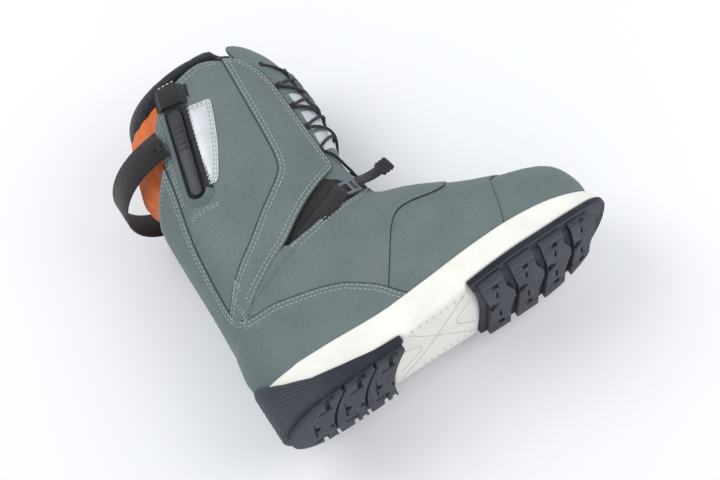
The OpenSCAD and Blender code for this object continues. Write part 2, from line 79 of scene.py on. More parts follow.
# ---------------------------------------------------------------- camera
CAMERA_ANGLES = (-5.4, -24.2, -36.5)         # azimuth, elevation and roll, in degrees
CAMERA_AIM = (150, 0, 130)                   # the point looked at, near the middle of the boot
CAMERA_SHIFT = (-1.5, -23.6)                 # and how far to the right of it and above it
CAMERA_LENS, CAMERA_SENSOR = 62.5, 36


def make_camera():
    azimuth, elevation, roll = map(math.radians, CAMERA_ANGLES)
    back = Vector((math.sin(azimuth) * math.cos(elevation),
                   -math.cos(azimuth) * math.cos(elevation), math.sin(elevation)))
    level = back.cross(Vector((0, 0, 1))).normalized() * -1
    upright = back.cross(level)
    right = math.cos(roll) * level + math.sin(roll) * upright
    up = math.cos(roll) * upright - math.sin(roll) * level
    shift_right, shift_up = CAMERA_SHIFT
    target = Vector(metres(CAMERA_AIM)) + right * shift_right * MM + up * shift_up * MM
    data = bpy.data.cameras.new("camera")
    data.sensor_width = CAMERA_SENSOR
    data.lens = CAMERA_LENS
    camera = bpy.data.objects.new("camera", data)
    bpy.context.scene.collection.objects.link(camera)
    axes = Matrix((right, up, back)).transposed().to_4x4()
    camera.matrix_world = Matrix.Translation(target + back) @ axes
    bpy.context.scene.camera = camera


make_camera()

# ---------------------------------------------------------------- surface of the boot
# Rings from the sole up to the collar; the first seven belong to the foot. Columns: back x z,
# middle x z, front x z, half width, nose radius, tail radius.
RINGS = np.array([
    [4, 40, 110, 33, 299, 28, 35, 70, 34], [2, 51, 108, 48, 300, 46, 36, 72, 36],
    [1, 61, 104, 62, 291, 66, 37, 78, 38], [2, 68, 99, 77, 262, 79, 39, 84, 40],
    [3, 74, 94, 91, 232, 94, 41, 84, 42], [4, 79, 89, 104, 198, 115, 42, 80, 43],
    [5, 82, 85, 115, 166, 132, 43, 68, 44], [5, 83, 85, 116, 160, 168, 44, 60, 45],
    [7, 125, 84, 150, 165, 192, 47, 66, 48], [8, 168, 84, 186, 168, 216, 51, 70, 52],
    [10, 212, 86, 224, 169, 242, 55, 70, 56], [18, 252, 88, 264, 167, 272, 57, 66, 58],
    [30, 286, 90, 296, 154, 303, 56, 62, 58], [34, 300, 92, 308, 150, 314, 55, 60, 56]], float)
TOP = len(RINGS) - 1
CUFF = 7                                     # first ring of the cuff
FEATHER = -0.12                              # just below ring 0, where the upper meets the midsole
FOOT_HALF = np.array([[0, 34], [50, 36], [110, 36], [150, 41], [190, 49], [225, 51], [300, 49]])
FOOT_SHIFT = np.array([[0, 0], [150, 0], [225, -1.5], [262, 0], [290, 4], [304, 6]])


def mix(a, b, f):
    return a + (b - a) * f


def smooth(v):
    c = np.clip(v, 0, 1)
    return c * c * (3 - 2 * c)


def spline(a, b, c, d, f):
    """Point at share f between b and c of a smooth curve through all four."""
    return 0.5 * (2 * b + (c - a) * f + (2 * a - 5 * b + 4 * c - d) * f ** 2
                  + (3 * b - 3 * c + d - a) * f ** 3)


def unit(vectors):
    return vectors / np.linalg.norm(vectors, axis=-1, keepdims=True)


def rings(w):
    w = np.asarray(w, float)
    i = np.clip(np.floor(w).astype(int), 0, TOP - 1)
    f = (w - i)[..., None]
    a, b, c, d = (RINGS[np.clip(i + k, 0, TOP)] for k in (-1, 0, 1, 2))
    straight = (i == TOP - 1) | (i == CUFF - 1) | (w < 0)
    return np.where(straight[..., None], mix(b, c, f), spline(a, b, c, d, f))


def cap(d, r):
    return np.where(d >= r, 1, np.sqrt(np.maximum(0, 1 - (1 - d / r) ** 2)))


def skin(w, a):
    """Point of the outer surface on ring w at angle a: 0 back, 90 lateral, 180 front, -90 medial."""
    w, a = np.broadcast_arrays(np.asarray(w, float), np.asarray(a, float))
    r = np.moveaxis(rings(w), -1, 0)
    u = (1 - np.cos(np.radians(a))) / 2
    low = u < 0.5
    f = np.where(low, 2 * u, 2 * u - 1)
    x = np.where(low, mix(r[0], r[2], f), mix(r[2], r[4], f))
    z = np.where(low, mix(r[1], r[3], f), mix(r[3], r[5], f))
    half = mix(np.interp(x, *FOOT_HALF.T), r[6], smooth(w / 5))
    half = half * cap(x - r[0], r[8]) * cap(r[4] - x, r[7])
    shift = np.interp(x, *FOOT_SHIFT.T) * np.clip(1 - w / CUFF, 0, 1)
    side = np.where(np.sin(np.radians(a)) >= 0, 1, -1)
    return np.stack([x, shift - side * half, z], -1)


def slopes(w, a):
    step_w, step_a = 0.03, 0.6
    up = (skin(w + step_w, a) - skin(w - step_w, a)) / (2 * step_w)
    along = (skin(w, a + step_a) - skin(w, a - step_a)) / (2 * step_a)
    return up, along, unit(np.cross(along, up))


def lifted(wa, lift):
    wa = np.asarray(wa, float)
    w, a = wa[..., 0], wa[..., 1]
    return skin(w, a) + np.asarray(lift)[..., None] * slopes(w, a)[2]


def locate(points):
    """Ring and lateral angle of points given as x, z in the side view."""
    x, z = np.asarray(points, float).T
    low, high = np.full(len(x), -0.5), np.full(len(x), float(TOP))
    for _ in range(40):
        w = (low + high) / 2
        r = rings(w).T
        line = np.where(x < r[2], mix(r[1], r[3], (x - r[0]) / (r[2] - r[0])),
                        mix(r[3], r[5], (x - r[2]) / (r[4] - r[2])))
        low, high = np.where(line < z, w, low), np.where(line < z, high, w)
    u = np.where(x < r[2], 0.5 * (x - r[0]) / (r[2] - r[0]), 0.5 + 0.5 * (x - r[2]) / (r[4] - r[2]))
    return np.stack([w, np.degrees(np.arccos(1 - 2 * np.clip(u, 0, 1)))], -1)


def through(points, per=8):
    """A smooth line through the points."""
    p = np.asarray(points, float)
    t = np.linspace(0, len(p) - 1, (len(p) - 1) * per + 1)
    i = np.clip(t.astype(int), 0, len(p) - 2)
    f = (t - i)[:, None]
    a = np.where((i > 0)[:, None], p[i - 1], 2 * p[i] - p[i + 1])
    last = np.minimum(i + 2, len(p) - 1)
    d = np.where((i + 2 < len(p))[:, None], p[last], 2 * p[i + 1] - p[i])
    return spline(a, p[i], p[i + 1], d, f)


def side(points, per=8):
    return locate(through(points, per))


def crown(x):
    """Ring whose front end lies at x, on the centre line."""
    grid = np.linspace(0, CUFF - 1, 400)
    return grid[np.argmin(abs(rings(grid)[:, 4] - x))]


def ring_line(w, a0, a1, n=40):
    return np.stack([np.full(n, float(w)), np.linspace(a0, a1, n)], -1)


def medial(line, front=False):
    return np.stack([line[:, 0], (360 if front else 0) - line[:, 1]], -1)


def over_front(line):
    """The lateral line and its mirror image, joined over the front."""
    return np.concatenate([line, medial(line, True)[::-1][1:]])


def resample(line, step, lift=0.0):
    """Even steps along a line of ring and angle."""
    p = lifted(line, lift)
    run = np.concatenate([[0], np.cumsum(np.linalg.norm(np.diff(p, axis=0), axis=1))])
    n = max(2, int(round(run[-1] / step)) + 1)
    s = np.linspace(0, run[-1], n)
    return np.stack([np.interp(s, run, line[:, k]) for k in (0, 1)], -1)


def offset(line, distance):
    """The line moved sideways on the surface; positive is to the left as seen from outside."""
    up, along, n = slopes(line[:, 0], line[:, 1])
    p = skin(line[:, 0], line[:, 1])
    left = np.cross(n, unit(np.gradient(p, axis=0))) * distance
    out = line.copy()
    for k in range(len(line)):
        basis = np.stack([up[k], along[k]], -1)
        out[k] += np.linalg.lstsq(basis, left[k], rcond=None)[0]
    return out


# ---------------------------------------------------------------- meshes
def new_mesh(name, verts, faces, materials, face_slots=None, smooth_shade=True, sharp=None):
    mesh = bpy.data.meshes.new(name)
    mesh.from_pydata(metres(verts).tolist(), [], [list(map(int, f)) for f in faces])
    for m in materials:
        mesh.materials.append(m)
    if face_slots is not None:
        mesh.polygons.foreach_set("material_index", np.asarray(face_slots, np.int32))
    mesh.polygons.foreach_set("use_smooth", [smooth_shade] * len(mesh.polygons))
    mesh.update()
    if sharp is not None:
        mesh.set_sharp_from_angle(angle=math.radians(sharp))
    obj = bpy.data.objects.new(name, mesh)
    bpy.context.scene.collection.objects.link(obj)
    return obj


def apply_modifiers(obj, sharp=None):
    graph = bpy.context.evaluated_depsgraph_get()
    mesh = bpy.data.meshes.new_from_object(obj.evaluated_get(graph))
    obj.modifiers.clear()
    obj.data = mesh
    if sharp is not None:
        mesh.set_sharp_from_angle(angle=math.radians(sharp))
    return obj


def solidify(obj, thickness, rim_slot=1, inner_slot=0):
    m = obj.modifiers.new("thickness", "SOLIDIFY")
    m.thickness = thickness * MM
    m.offset = -1
    m.material_offset_rim = rim_slot
    m.material_offset = inner_slot


def bevel(obj, width, segments=2, angle=40):
    m = obj.modifiers.new("bevel", "BEVEL")
    m.width = width * MM
    m.segments = segments
    m.limit_method = "ANGLE"
    m.angle_limit = math.radians(angle)
    m.harden_normals = False


def inside(points, outline):
    x, y = points[:, 0][:, None], points[:, 1][:, None]
    x0, y0 = outline[:, 0], outline[:, 1]
    x1, y1 = np.roll(x0, -1), np.roll(y0, -1)
    cross = ((y0 > y) != (y1 > y)) & (x < (x1 - x0) * (y - y0) / (y1 - y0 + 1e-12) + x0)
    return cross.sum(1) % 2 == 1


def fill(outline, spacing, extra=None):
    """Triangles over a flat outline, with inner points on a grid. Returns points and triangles."""
    low, high = outline.min(0), outline.max(0)
    grid = np.stack(np.meshgrid(*(np.arange(low[k], high[k], spacing) for k in (0, 1))), -1).reshape(-1, 2)
    grid[:, 0] += spacing / 2 * (np.round((grid[:, 1] - low[1]) / spacing) % 2)
    solid = np.empty((0, 2)) if extra is None else extra[inside(extra, outline)]
    border = np.concatenate([outline, solid])
    grid = grid[inside(grid, outline)]
    if len(grid):
        near = np.min(np.linalg.norm(grid[:, None] - border[None], axis=2), axis=1)
        grid = grid[near > spacing * 0.6]
    points = [Vector(p) for p in np.concatenate([outline, solid, grid])]
    n = len(outline)
    verts, _, faces, *_ = delaunay_2d_cdt(points, [(i, (i + 1) % n) for i in range(n)], [], 1, 1e-5)
    verts = np.array([tuple(v) for v in verts])
    tris = np.array([f for f in faces if len(f) == 3])
    a, b, c = (verts[tris[:, k]] for k in range(3))
    area = (b[:, 0] - a[:, 0]) * (c[:, 1] - a[:, 1]) - (b[:, 1] - a[:, 1]) * (c[:, 0] - a[:, 0])
    tris[area < 0] = tris[area < 0][:, ::-1]
    return verts, tris[abs(area) > 1e-6]


HEIGHTS = RINGS[:, [3, 5]].mean(1)           # even spacing of the rings for filling a panel


def flat(wa):
    w = np.interp(wa[:, 0], np.arange(TOP + 1), HEIGHTS)
    w = w + np.minimum(wa[:, 0], 0) * 17 + np.maximum(wa[:, 0] - TOP, 0) * 12
    return np.stack([wa[:, 1] * 1.8, w], -1)


def unflat(p):
    w = np.interp(p[:, 1], HEIGHTS, np.arange(TOP + 1))
    w = w + np.minimum(p[:, 1] - HEIGHTS[0], 0) / 17 + np.maximum(p[:, 1] - HEIGHTS[-1], 0) / 12
    return np.stack([w, p[:, 0] / 1.8], -1)


def ring_walls(count, sides):
    """Quads between rings of vertices stacked one after another."""
    return [(i * sides + k, i * sides + (k + 1) % sides, (i + 1) * sides + (k + 1) % sides,
             (i + 1) * sides + k) for i in range(count - 1) for k in range(sides)]


def closed_stack(count, sides):
    """The walls between the rings and a face on each end."""
    last = tuple(range((count - 1) * sides, count * sides))
    return ring_walls(count, sides) + [tuple(range(sides))[::-1], last]


TUBE_SIDE = (0.31, 0.11, 0.94)               # a direction that no cord runs along


def tube(points, radius, sides=8):
    """Vertices and faces of a round cord along the points."""
    p = np.asarray(points, float)
    way = unit(np.gradient(p, axis=0))
    u = unit(np.cross(way, TUBE_SIDE))
    v = np.cross(way, u)
    t = np.arange(sides) * 2 * math.pi / sides
    ring = np.cos(t)[None, :, None] * u[:, None] + np.sin(t)[None, :, None] * v[:, None]
    return (p[:, None] + radius * ring).reshape(-1, 3), closed_stack(len(p), sides)


def joined(parts):
    """One list of vertices and faces from several."""
    verts, faces, start = [], [], 0
    for v, f in parts:
        verts.append(np.asarray(v))
        faces += [tuple(i + start for i in g) for g in f]
        start += len(v)
    return np.concatenate(verts), faces


def seat(w, a, out, lean=0.0):
    """Origin and axes on the surface: X along the angle, Y up the boot, Z outwards."""
    z = slopes(w, a)[2]
    up = skin(w + 0.3, a) - skin(w - 0.3, a)
    y = unit(up - (up @ z) * z)
    x = np.cross(y, z)
    c, s = math.cos(math.radians(lean)), math.sin(math.radians(lean))
    return skin(w, a) + out * z, np.stack([c * x + s * y, c * y - s * x, z]), (w, a)


def stand(points, place):
    return place[0] + np.asarray(points, float) @ place[1]


def under(place, xy):
    """Ring and angle of the surface below points of a seat."""
    wa = np.tile(np.array(place[2], float), (len(xy), 1))
    for _ in range(15):
        up, along, _n = slopes(wa[:, 0], wa[:, 1])
        miss = np.asarray(xy) - ((skin(wa[:, 0], wa[:, 1]) - place[0]) @ place[1].T)[:, :2]
        slope = np.stack([up @ place[1][:2].T, along @ place[1][:2].T], -1)
        wa += np.clip(np.linalg.solve(slope, miss[..., None])[..., 0], (-0.5, -12), (0.5, 12))
    return wa


def mirrored(verts, faces, flip):
    if not flip:
        return verts, faces
    return np.asarray(verts) * (1, -1, 1), [tuple(f)[::-1] for f in faces]


def outward(way):
    """Unit vectors to the right of flat directions, which is out of an anticlockwise outline."""
    way = unit(way)
    return np.stack([way[:, 1], -way[:, 0]], -1)


def plate(outline, low, high, edge):
    """Flat plate with eased edges over an anticlockwise outline."""
    p = np.asarray(outline, float)
    out = outward(np.roll(p, -1, 0) - np.roll(p, 1, 0))
    levels = [(-edge, low), (-edge * 0.3, low + edge * 0.3), (0, low + edge), (0, high - edge),
              (-edge * 0.3, high - edge * 0.3), (-edge, high)]
    verts = np.concatenate([np.column_stack([p + d * out, np.full(len(p), z)]) for d, z in levels])
    return verts, closed_stack(len(levels), len(p))


def rounded_block(low, high, edge):
    (x0, y0, z0), (x1, y1, z1) = low, high
    e = min(edge, (x1 - x0) / 2.2, (y1 - y0) / 2.2)
    outline = [(x0 + e, y0), (x1 - e, y0), (x1 - e * 0.3, y0 + e * 0.3), (x1, y0 + e), (x1, y1 - e),
               (x1 - e * 0.3, y1 - e * 0.3), (x1 - e, y1), (x0 + e, y1), (x0 + e * 0.3, y1 - e * 0.3),
               (x0, y1 - e), (x0, y0 + e), (x0 + e * 0.3, y0 + e * 0.3)]
    return plate(outline, z0, z1, min(edge, (z1 - z0) / 2.2) * 0.8)


SIDES = ((False, "lateral"), (True, "medial"))
STITCH, STITCH_GAP, STITCH_R = 2.7, 1.1, 0.5


def stitches(name, lines, lift, materials):
    """Thread stitches along lines of ring and angle."""
    profile = [(-0.5, 0.35), (-0.3, 0.9), (0.3, 0.9), (0.5, 0.35)]
    t = np.arange(6) * math.pi / 3
    shape = np.array([[s * STITCH, r * STITCH_R * math.cos(k), r * STITCH_R * math.sin(k)]
                      for s, r in profile for k in t])
    walls = closed_stack(len(profile), len(t))
    parts = []
    for line in lines:
        spots = resample(line, (STITCH + STITCH_GAP) / 2, lift)
        p = lifted(spots, lift + 0.1)
        n = slopes(spots[:, 0], spots[:, 1])[2]
        for k in range(1, len(p) - 1, 2):
            way = unit(p[k + 1] - p[k - 1])
            across = np.cross(n[k], way)
            axes = np.stack([way, across, np.cross(way, across)])
            parts.append((p[k] + shape @ axes, walls))
    verts, faces = joined(parts)
    return new_mesh(name, verts, faces, materials)


def attach(obj, body):
    """Rides on a body, or for the ankle keeps its place with its transform baked into the mesh."""
    if body == "ankle":
        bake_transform(obj)
    else:
        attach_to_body(obj, body)
    return obj


def finish(obj, body, nodes):
    """Fixes a finished piece to its body and hides the CAD parts it replaces."""
    attach(obj, body)
    if nodes:
        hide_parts(*nodes)
    return obj


def panel(name, outline, lift, thickness, materials, body, nodes=(), seams=(), rows=(2.0, 4.8),
          spacing=3.6, relief=None, piping=None, inner_slot=0):
    """A sheet of the boot's surface inside an outline of ring and angle, with stitched seams
    along some of its edges. Lift is the height of its outer face above the surface. The first
    material covers it and the second its cut edge."""
    border = flat(outline)
    insets, lines = [], []
    for seam in seams:
        seam = resample(seam, 2.2)
        sign = 1 if inside(flat(offset(seam, 1.5)), border).mean() > 0.5 else -1
        insets += [offset(seam, sign * d) for d in (1.0, 2.1, 3.4, 4.7, 6.2)]
        lines += [offset(seam, sign * d) for d in rows]
    keep = None
    if insets:
        keep = flat(np.concatenate(insets))
        gap = np.min(np.linalg.norm(keep[:, None] - border[None], axis=2), axis=1)
        keep = keep[gap > 0.8]
    verts, tris = fill(border, spacing, keep)
    wa = unflat(verts)
    height = np.full(len(wa), float(lift))
    if seams:
        edge = np.concatenate([lifted(resample(s, 1.5), 0) for s in seams])
        p = skin(wa[:, 0], wa[:, 1])
        d = np.min(np.linalg.norm(p[:, None] - edge[None], axis=2), axis=1)
        middle = (rows[0] + rows[-1]) / 2
        height += 0.5 * smooth((d - middle) / 6) - 0.35 * np.exp(-((d - middle) / 2.2) ** 2)
        height -= 0.5 * np.exp(-(d / 0.9) ** 2)
    if relief is not None:
        height += relief(wa)
    obj = new_mesh(name, lifted(wa, height), tris, materials)
    solidify(obj, thickness, inner_slot=inner_slot)
    apply_modifiers(obj, sharp=50)
    finish(obj, body, nodes)
    if lines:
        lines = [resample(line, 2.0) for line in lines]
        lines = [line[inside(flat(line), border)] for line in lines]
        thread = stitches(name + "_stitching", [line for line in lines if len(line) > 4],
                          lift - 0.25, [MATERIALS["thread"]])
        finish(thread, body, ())
    if piping is not None:
        parts = [tube(lifted(resample(p, 3.0), lift - 0.75), 0.55, 6) for p in piping]
        cord = new_mesh(name + "_edge", *joined(parts), [MATERIALS["edge"]])
        finish(cord, body, ())
    return obj


# ---------------------------------------------------------------- materials
class Nodes:
    """Small helper for building a material."""

    def __init__(self, name, roughness, **constants):
        self.material = bpy.data.materials.new(name)
        self.material.use_nodes = True
        self.tree = self.material.node_tree
        self.shader = self.tree.nodes["Principled BSDF"]
        self.shader.inputs["Roughness"].default_value = roughness
        for key, value in constants.items():
            self.shader.inputs[key.replace("_", " ")].default_value = value
        self.place = self.add("ShaderNodeTexCoord").outputs["Object"]

    def add(self, kind, inputs=None, **settings):
        node = self.tree.nodes.new(kind)
        for key, value in settings.items():
            setattr(node, key, value)
        for key, value in (inputs or {}).items():
            if isinstance(value, bpy.types.NodeSocket):
                self.tree.links.new(value, node.inputs[key])
            else:
                node.inputs[key].default_value = value
        return node

    def noise(self, scale, detail=3):
        inputs = {"Vector": self.place, "Scale": scale, "Detail": detail}
        return self.add("ShaderNodeTexNoise", inputs).outputs["Fac"]

    def cells(self, scale, feature="F1"):
        inputs = {"Vector": self.place, "Scale": scale}
        return self.add("ShaderNodeTexVoronoi", inputs, feature=feature).outputs["Distance"]

    def ramp(self, value, low, high, colours):
        node = self.add("ShaderNodeValToRGB", {"Fac": value})
        first, last = node.color_ramp.elements
        first.position, last.position = low, high
        first.color, last.color = (*colours[0], 1), (*colours[1], 1)
        return node.outputs["Color"]

    def blend(self, factor, a, b, kind="MIX"):
        node = self.add("ShaderNodeMix", data_type="RGBA", blend_type=kind)
        for socket, value in ((node.inputs[0], factor), (node.inputs[6], a), (node.inputs[7], b)):
            if isinstance(value, bpy.types.NodeSocket):
                self.tree.links.new(value, socket)
            else:
                socket.default_value = value
        return node.outputs[2]

    def colour(self, socket):
        self.tree.links.new(socket, self.shader.inputs["Base Color"])

    def rough(self, socket, low, high):
        node = self.add("ShaderNodeMapRange", {"Value": socket, "To Min": low, "To Max": high})
        self.tree.links.new(node.outputs[0], self.shader.inputs["Roughness"])

    def bump(self, *layers):
        """Layers are (height socket, depth in mm)."""
        last = None
        for height, depth in layers:
            inputs = {"Height": height, "Distance": depth * MM, "Strength": 1.0}
            if last is not None:
                inputs["Normal"] = last
            last = self.add("ShaderNodeBump", inputs).outputs[0]
        self.tree.links.new(last, self.shader.inputs["Normal"])


def rgb(r, g, b):
    """Linear colour from 0-255 display values."""
    return tuple(((c / 255 + 0.055) / 1.055) ** 2.4 if c > 10 else c / 255 / 12.92 for c in (r, g, b))


def shades(base, low, high):
    """Two tones of a display colour, each shifted from it."""
    return [rgb(*[min(255, max(0, c + shift)) for c in base]) for shift in (low, high)]


def leather(name, base, pebble=0.16, roughness=0.62):
    m = Nodes(name, roughness)
    cells = m.cells(470, "SMOOTH_F1")
    creases = m.cells(330, "DISTANCE_TO_EDGE")
    broad = m.noise(28, 4)
    tone = m.ramp(broad, 0.3, 0.7, shades(base, -7, 8))
    grain = m.ramp(cells, 0.15, 0.75, shades(base, 9, -10))
    m.colour(m.blend(0.45, tone, grain))
    m.rough(m.noise(300, 2), roughness - 0.1, roughness + 0.12)
    m.bump((cells, -pebble), (creases, pebble * 0.5), (m.noise(1500, 2), pebble * 0.25))
    return m.material


def fabric(name, base, weave=900, depth=0.15, roughness=0.9, spread=6):
    m = Nodes(name, roughness, Sheen_Weight=0.15)
    lines = m.add("ShaderNodeTexWave", {"Vector": m.place, "Scale": weave, "Distortion": 0.4},
                  bands_direction="DIAGONAL").outputs["Fac"]
    knots = m.cells(weave * 1.3)
    m.colour(m.blend(0.5, m.ramp(m.noise(60), 0.3, 0.7, shades(base, -spread, spread)),
                     m.ramp(knots, 0.1, 0.8, shades(base, spread, -spread))))
    m.bump((lines, depth), (knots, -depth * 0.6))
    return m.material


def plastic(name, base, roughness=0.45, spread=3):
    m = Nodes(name, roughness)
    m.colour(m.ramp(m.noise(90), 0.3, 0.7, shades(base, -spread, spread)))
    m.rough(m.noise(400, 4), roughness - 0.08, roughness + 0.1)
    m.bump((m.noise(1800, 2), 0.04))
    return m.material


def rubber(name, base):
    m = Nodes(name, 0.62)
    ribs = m.add("ShaderNodeTexWave", {"Vector": m.place, "Scale": 190, "Distortion": 0.0},
                 bands_direction="X").outputs["Fac"]
    worn = m.noise(35, 5)
    m.colour(m.blend(0.25, m.ramp(worn, 0.3, 0.75, shades(base, -10, 10)),
                     m.ramp(ribs, 0.2, 0.8, shades(base, -12, 8))))
    m.rough(m.noise(250), 0.5, 0.75)
    m.bump((ribs, 0.18), (m.noise(1300, 2), 0.05))
    return m.material


def webbing(name, base, depth=0.35):
    """Ribbed tape; U runs along it and V across, both in millimetres."""
    m = Nodes(name, 0.8, Sheen_Weight=0.2)
    uv = m.add("ShaderNodeUVMap", uv_map="UVMap").outputs[0]
    ribs = m.add("ShaderNodeTexWave", {"Vector": uv, "Scale": 0.19}, bands_direction="X").outputs["Fac"]
    threads = m.add("ShaderNodeTexWave", {"Vector": uv, "Scale": 0.3, "Distortion": 0.5},
                    bands_direction="Y").outputs["Fac"]
    m.colour(m.blend(0.5, m.ramp(ribs, 0.1, 0.9, shades(base, -7, 9)),
                     m.ramp(threads, 0.1, 0.9, shades(base, -4, 5))))
    m.bump((ribs, depth), (threads, depth * 0.4))
    return m.material


def spacer_mesh(name, base):
    m = Nodes(name, 0.85, Sheen_Weight=0.25)
    holes = m.cells(330, "SMOOTH_F1")
    walls = m.cells(330, "DISTANCE_TO_EDGE")
    pit, wall = rgb(*[c // 4 for c in base]), rgb(*[c + 24 for c in base])
    m.colour(m.blend(0.6, m.ramp(holes, 0.1, 0.6, (pit, wall)),
                     m.ramp(m.noise(90), 0.3, 0.7, shades(base, 0, 8))))
    m.bump((walls, -0.9), (m.noise(1400), 0.1))
    return m.material


def reflective(name, base):
    m = Nodes(name, 0.38, Metallic=0.25)
    beads = m.cells(2600)
    m.colour(m.blend(0.3, m.ramp(m.noise(70), 0.3, 0.7, shades(base, -10, 8)),
                     m.ramp(beads, 0.1, 0.8, shades(base, 10, -18))))
    m.bump((beads, -0.05), (m.noise(160), 0.1))
    return m.material


def foam(name, base):
    m = Nodes(name, 0.55)
    m.colour(m.ramp(m.noise(40, 4), 0.3, 0.75, shades(base, -7, 5)))
    m.rough(m.noise(200), 0.45, 0.65)
    m.bump((m.noise(900, 3), 0.06), (m.cells(700), 0.03))
    return m.material


MATERIALS = {
    "leather": leather("pebbled leather", (98, 112, 111), 0.26),
    "leather_fine": leather("smooth leather", (99, 111, 111), 0.12),
    "edge": plastic("painted leather edge", (40, 46, 46), 0.6),
    "thread": fabric("stitching thread", (168, 176, 175), 2500, 0.05),
    "white_thread": fabric("white thread", (232, 233, 233), 2500, 0.05),
    "textile": fabric("black stretch textile", (19, 20, 23), 1100, 0.2),
    "lining": fabric("dark lining", (38, 39, 43), 900, 0.2),
    "orange": fabric("orange liner fabric", (236, 122, 62), 1300, 0.12, spread=7),
    "rubber": rubber("outsole rubber", (54, 57, 66)),
    "foam": foam("midsole foam", (240, 238, 229)),
    "relief": plastic("moulded arch lines", (205, 200, 186), 0.6),
    "gel": plastic("heel gel pad", (90, 120, 160), 0.3),
    "board": fabric("lasting board", (178, 164, 138), 700, 0.1),
    "black": plastic("black plastic", (30, 31, 34), 0.42),
    "grey": plastic("grey plastic", (104, 107, 114), 0.4),
    "handle": plastic("handle plastic", (25, 28, 35), 0.36),
    "guide": plastic("lace guide plastic", (70, 73, 82), 0.45),
    "webbing": webbing("black webbing", (19, 20, 23)),
    "strap": webbing("ankle strap webbing", (20, 21, 24), 0.5),
    "lace": fabric("lace cord", (28, 29, 31), 1500, 0.2),
    "mesh": spacer_mesh("collar mesh", (30, 31, 37)),
    "film": reflective("reflective film", (206, 209, 212)),
    "liner_rubber": plastic("liner sole", (48, 49, 54), 0.7),
}
SLOT_MATERIALS = {
    "rubber_sole": "rubber", "foam_midsole": "foam", "gel_pad": "gel", "board": "board",
    "grey_leather": "leather", "black_textile": "textile", "liner_rubber": "liner_rubber",
    "liner_dark": "lining", "black_plastic": "black", "lace_cord": "lace", "black_webbing": "textile",
    "grey_plastic": "grey", "reflective_film": "film", "liner_orange": "orange", "collar_mesh": "mesh",
    "handle_plastic": "handle",
}


def paint_cad_nodes():
    for name, node in frame["nodes"].items():
        row = [s for s in frame["record"]["subparts"] if s["node"] == name][0]
        material = MATERIALS[SLOT_MATERIALS[row["material_slot"]]]
        for slot in node.material_slots:
            slot.material = material


paint_cad_nodes()

LEATHER = [MATERIALS["leather"], MATERIALS["edge"]]
FINE = [MATERIALS["leather_fine"], MATERIALS["edge"]]

# ---------------------------------------------------------------- seams in the side view
HEEL_CURVE = [(141, 28), (132, 40), (124, 52), (114, 62), (102, 71), (86, 78), (68, 83), (50, 87),
              (36, 88), (26, 91), (20, 100), (20, 120), (22, 142), (25, 166), (30, 188), (36, 212),
              (40, 236)]
NOTCH = [(40, 236), (28, 226), (16, 216)]
COLLAR = [(38, 232), (44, 245), (49, 266), (56, 276), (70, 286), (90, 293), (109, 296), (122, 292)]
EYESTAY_SEAM = [(126, 292), (124, 268), (121, 236), (118, 206), (115, 186), (108, 173), (83, 155),
                (62, 139), (45, 127), (30, 115), (14, 100)]
FRONT_EDGE = [(122, 292), (135, 286), (143, 274), (148, 256), (149, 230), (149, 200), (149, 168)]
GUSSET_EDGE = [(149, 168), (147, 162), (140, 157), (124, 148), (107, 138), (84, 123), (69, 116), (50, 105),
               (30, 92), (18, 84)]
SEAM_ONE = [(129, 50), (138, 62), (148, 76), (157, 87), (167, 94), (180, 95), (196, 92), (208, 93),
            (213, 100)]
TOE_SEAM = [(219, 24), (224, 36), (229, 48), (233, 60), (238, 74)]
THROAT = [(84, 119), (98, 121), (107, 122), (123, 126), (144, 129), (157, 134)]


def heel_wrap():
    low = side(HEEL_CURVE)
    notch = side(NOTCH)
    back = ring_line(CUFF + 3.02, notch[-1, 1], -notch[-1, 1], 14)
    top = np.concatenate([notch, back[1:-1], medial(notch)[::-1]])
    bottom = ring_line(FEATHER, -low[0, 1], low[0, 1], 70)
    outline = np.concatenate([low[:-1], top, medial(low)[::-1][1:], bottom[1:-1]])
    panel("heel_wrap", outline, 2.1, 2.0, LEATHER, "ankle", ["heel_counter", "back_panel"],
          seams=[low, medial(low), top], piping=[low, medial(low)])


def quarters():
    seam = np.concatenate([side(SEAM_ONE), [[crown(214), 180]]])
    throat = np.concatenate([side(THROAT), [[6.32, 180]]])
    hidden_low = side([(8, 64), (50, 72), (92, 64), (112, 48), (121, 40), (129, 50)])
    hidden_top = side([(8, 84), (30, 100), (56, 117), (74, 124), (84, 119)])
    lateral = np.concatenate([hidden_top[:-1], throat])
    outline = np.concatenate([hidden_low[:-1], seam, medial(seam, True)[::-1][1:],
                              medial(hidden_low, True)[::-1][1:], medial(lateral, True),
                              lateral[::-1][1:]])
    panel("quarters", outline, 1.2, 1.8, FINE, "foot", ["quarter_lateral", "quarter_medial"],
          seams=[over_front(throat)], piping=[over_front(seam)])


def vamp():
    toe = np.concatenate([side(TOE_SEAM), [[crown(242), 180]]])
    hidden = np.concatenate([side([(118, 28), (121, 58), (133, 74), (150, 94), (165, 102), (182, 104)]),
                             [[crown(202), 180]]])
    low = ring_line(FEATHER, hidden[0, 1], toe[0, 1], 40)
    outline = np.concatenate([low[:-1], toe, medial(toe, True)[::-1][1:], medial(low, True)[::-1][1:],
                              medial(hidden, True)[1:], hidden[::-1][1:]])
    panel("vamp_panel", outline, 0.4, 1.6, LEATHER, "foot", ["vamp"],
          piping=[over_front(toe)])


def toe_cap():
    hidden = np.concatenate([side([(210, 26), (216, 40), (221, 52), (225, 66), (229, 78)]),
                             [[crown(234), 180]]])
    low = ring_line(FEATHER, hidden[0, 1], 360 - hidden[0, 1], 90)
    outline = np.concatenate([low[:-1], medial(hidden, True)[1:], hidden[::-1][1:]])
    panel("toe_box", outline, -0.5, 1.6, LEATHER, "foot", ["toe_cap"])


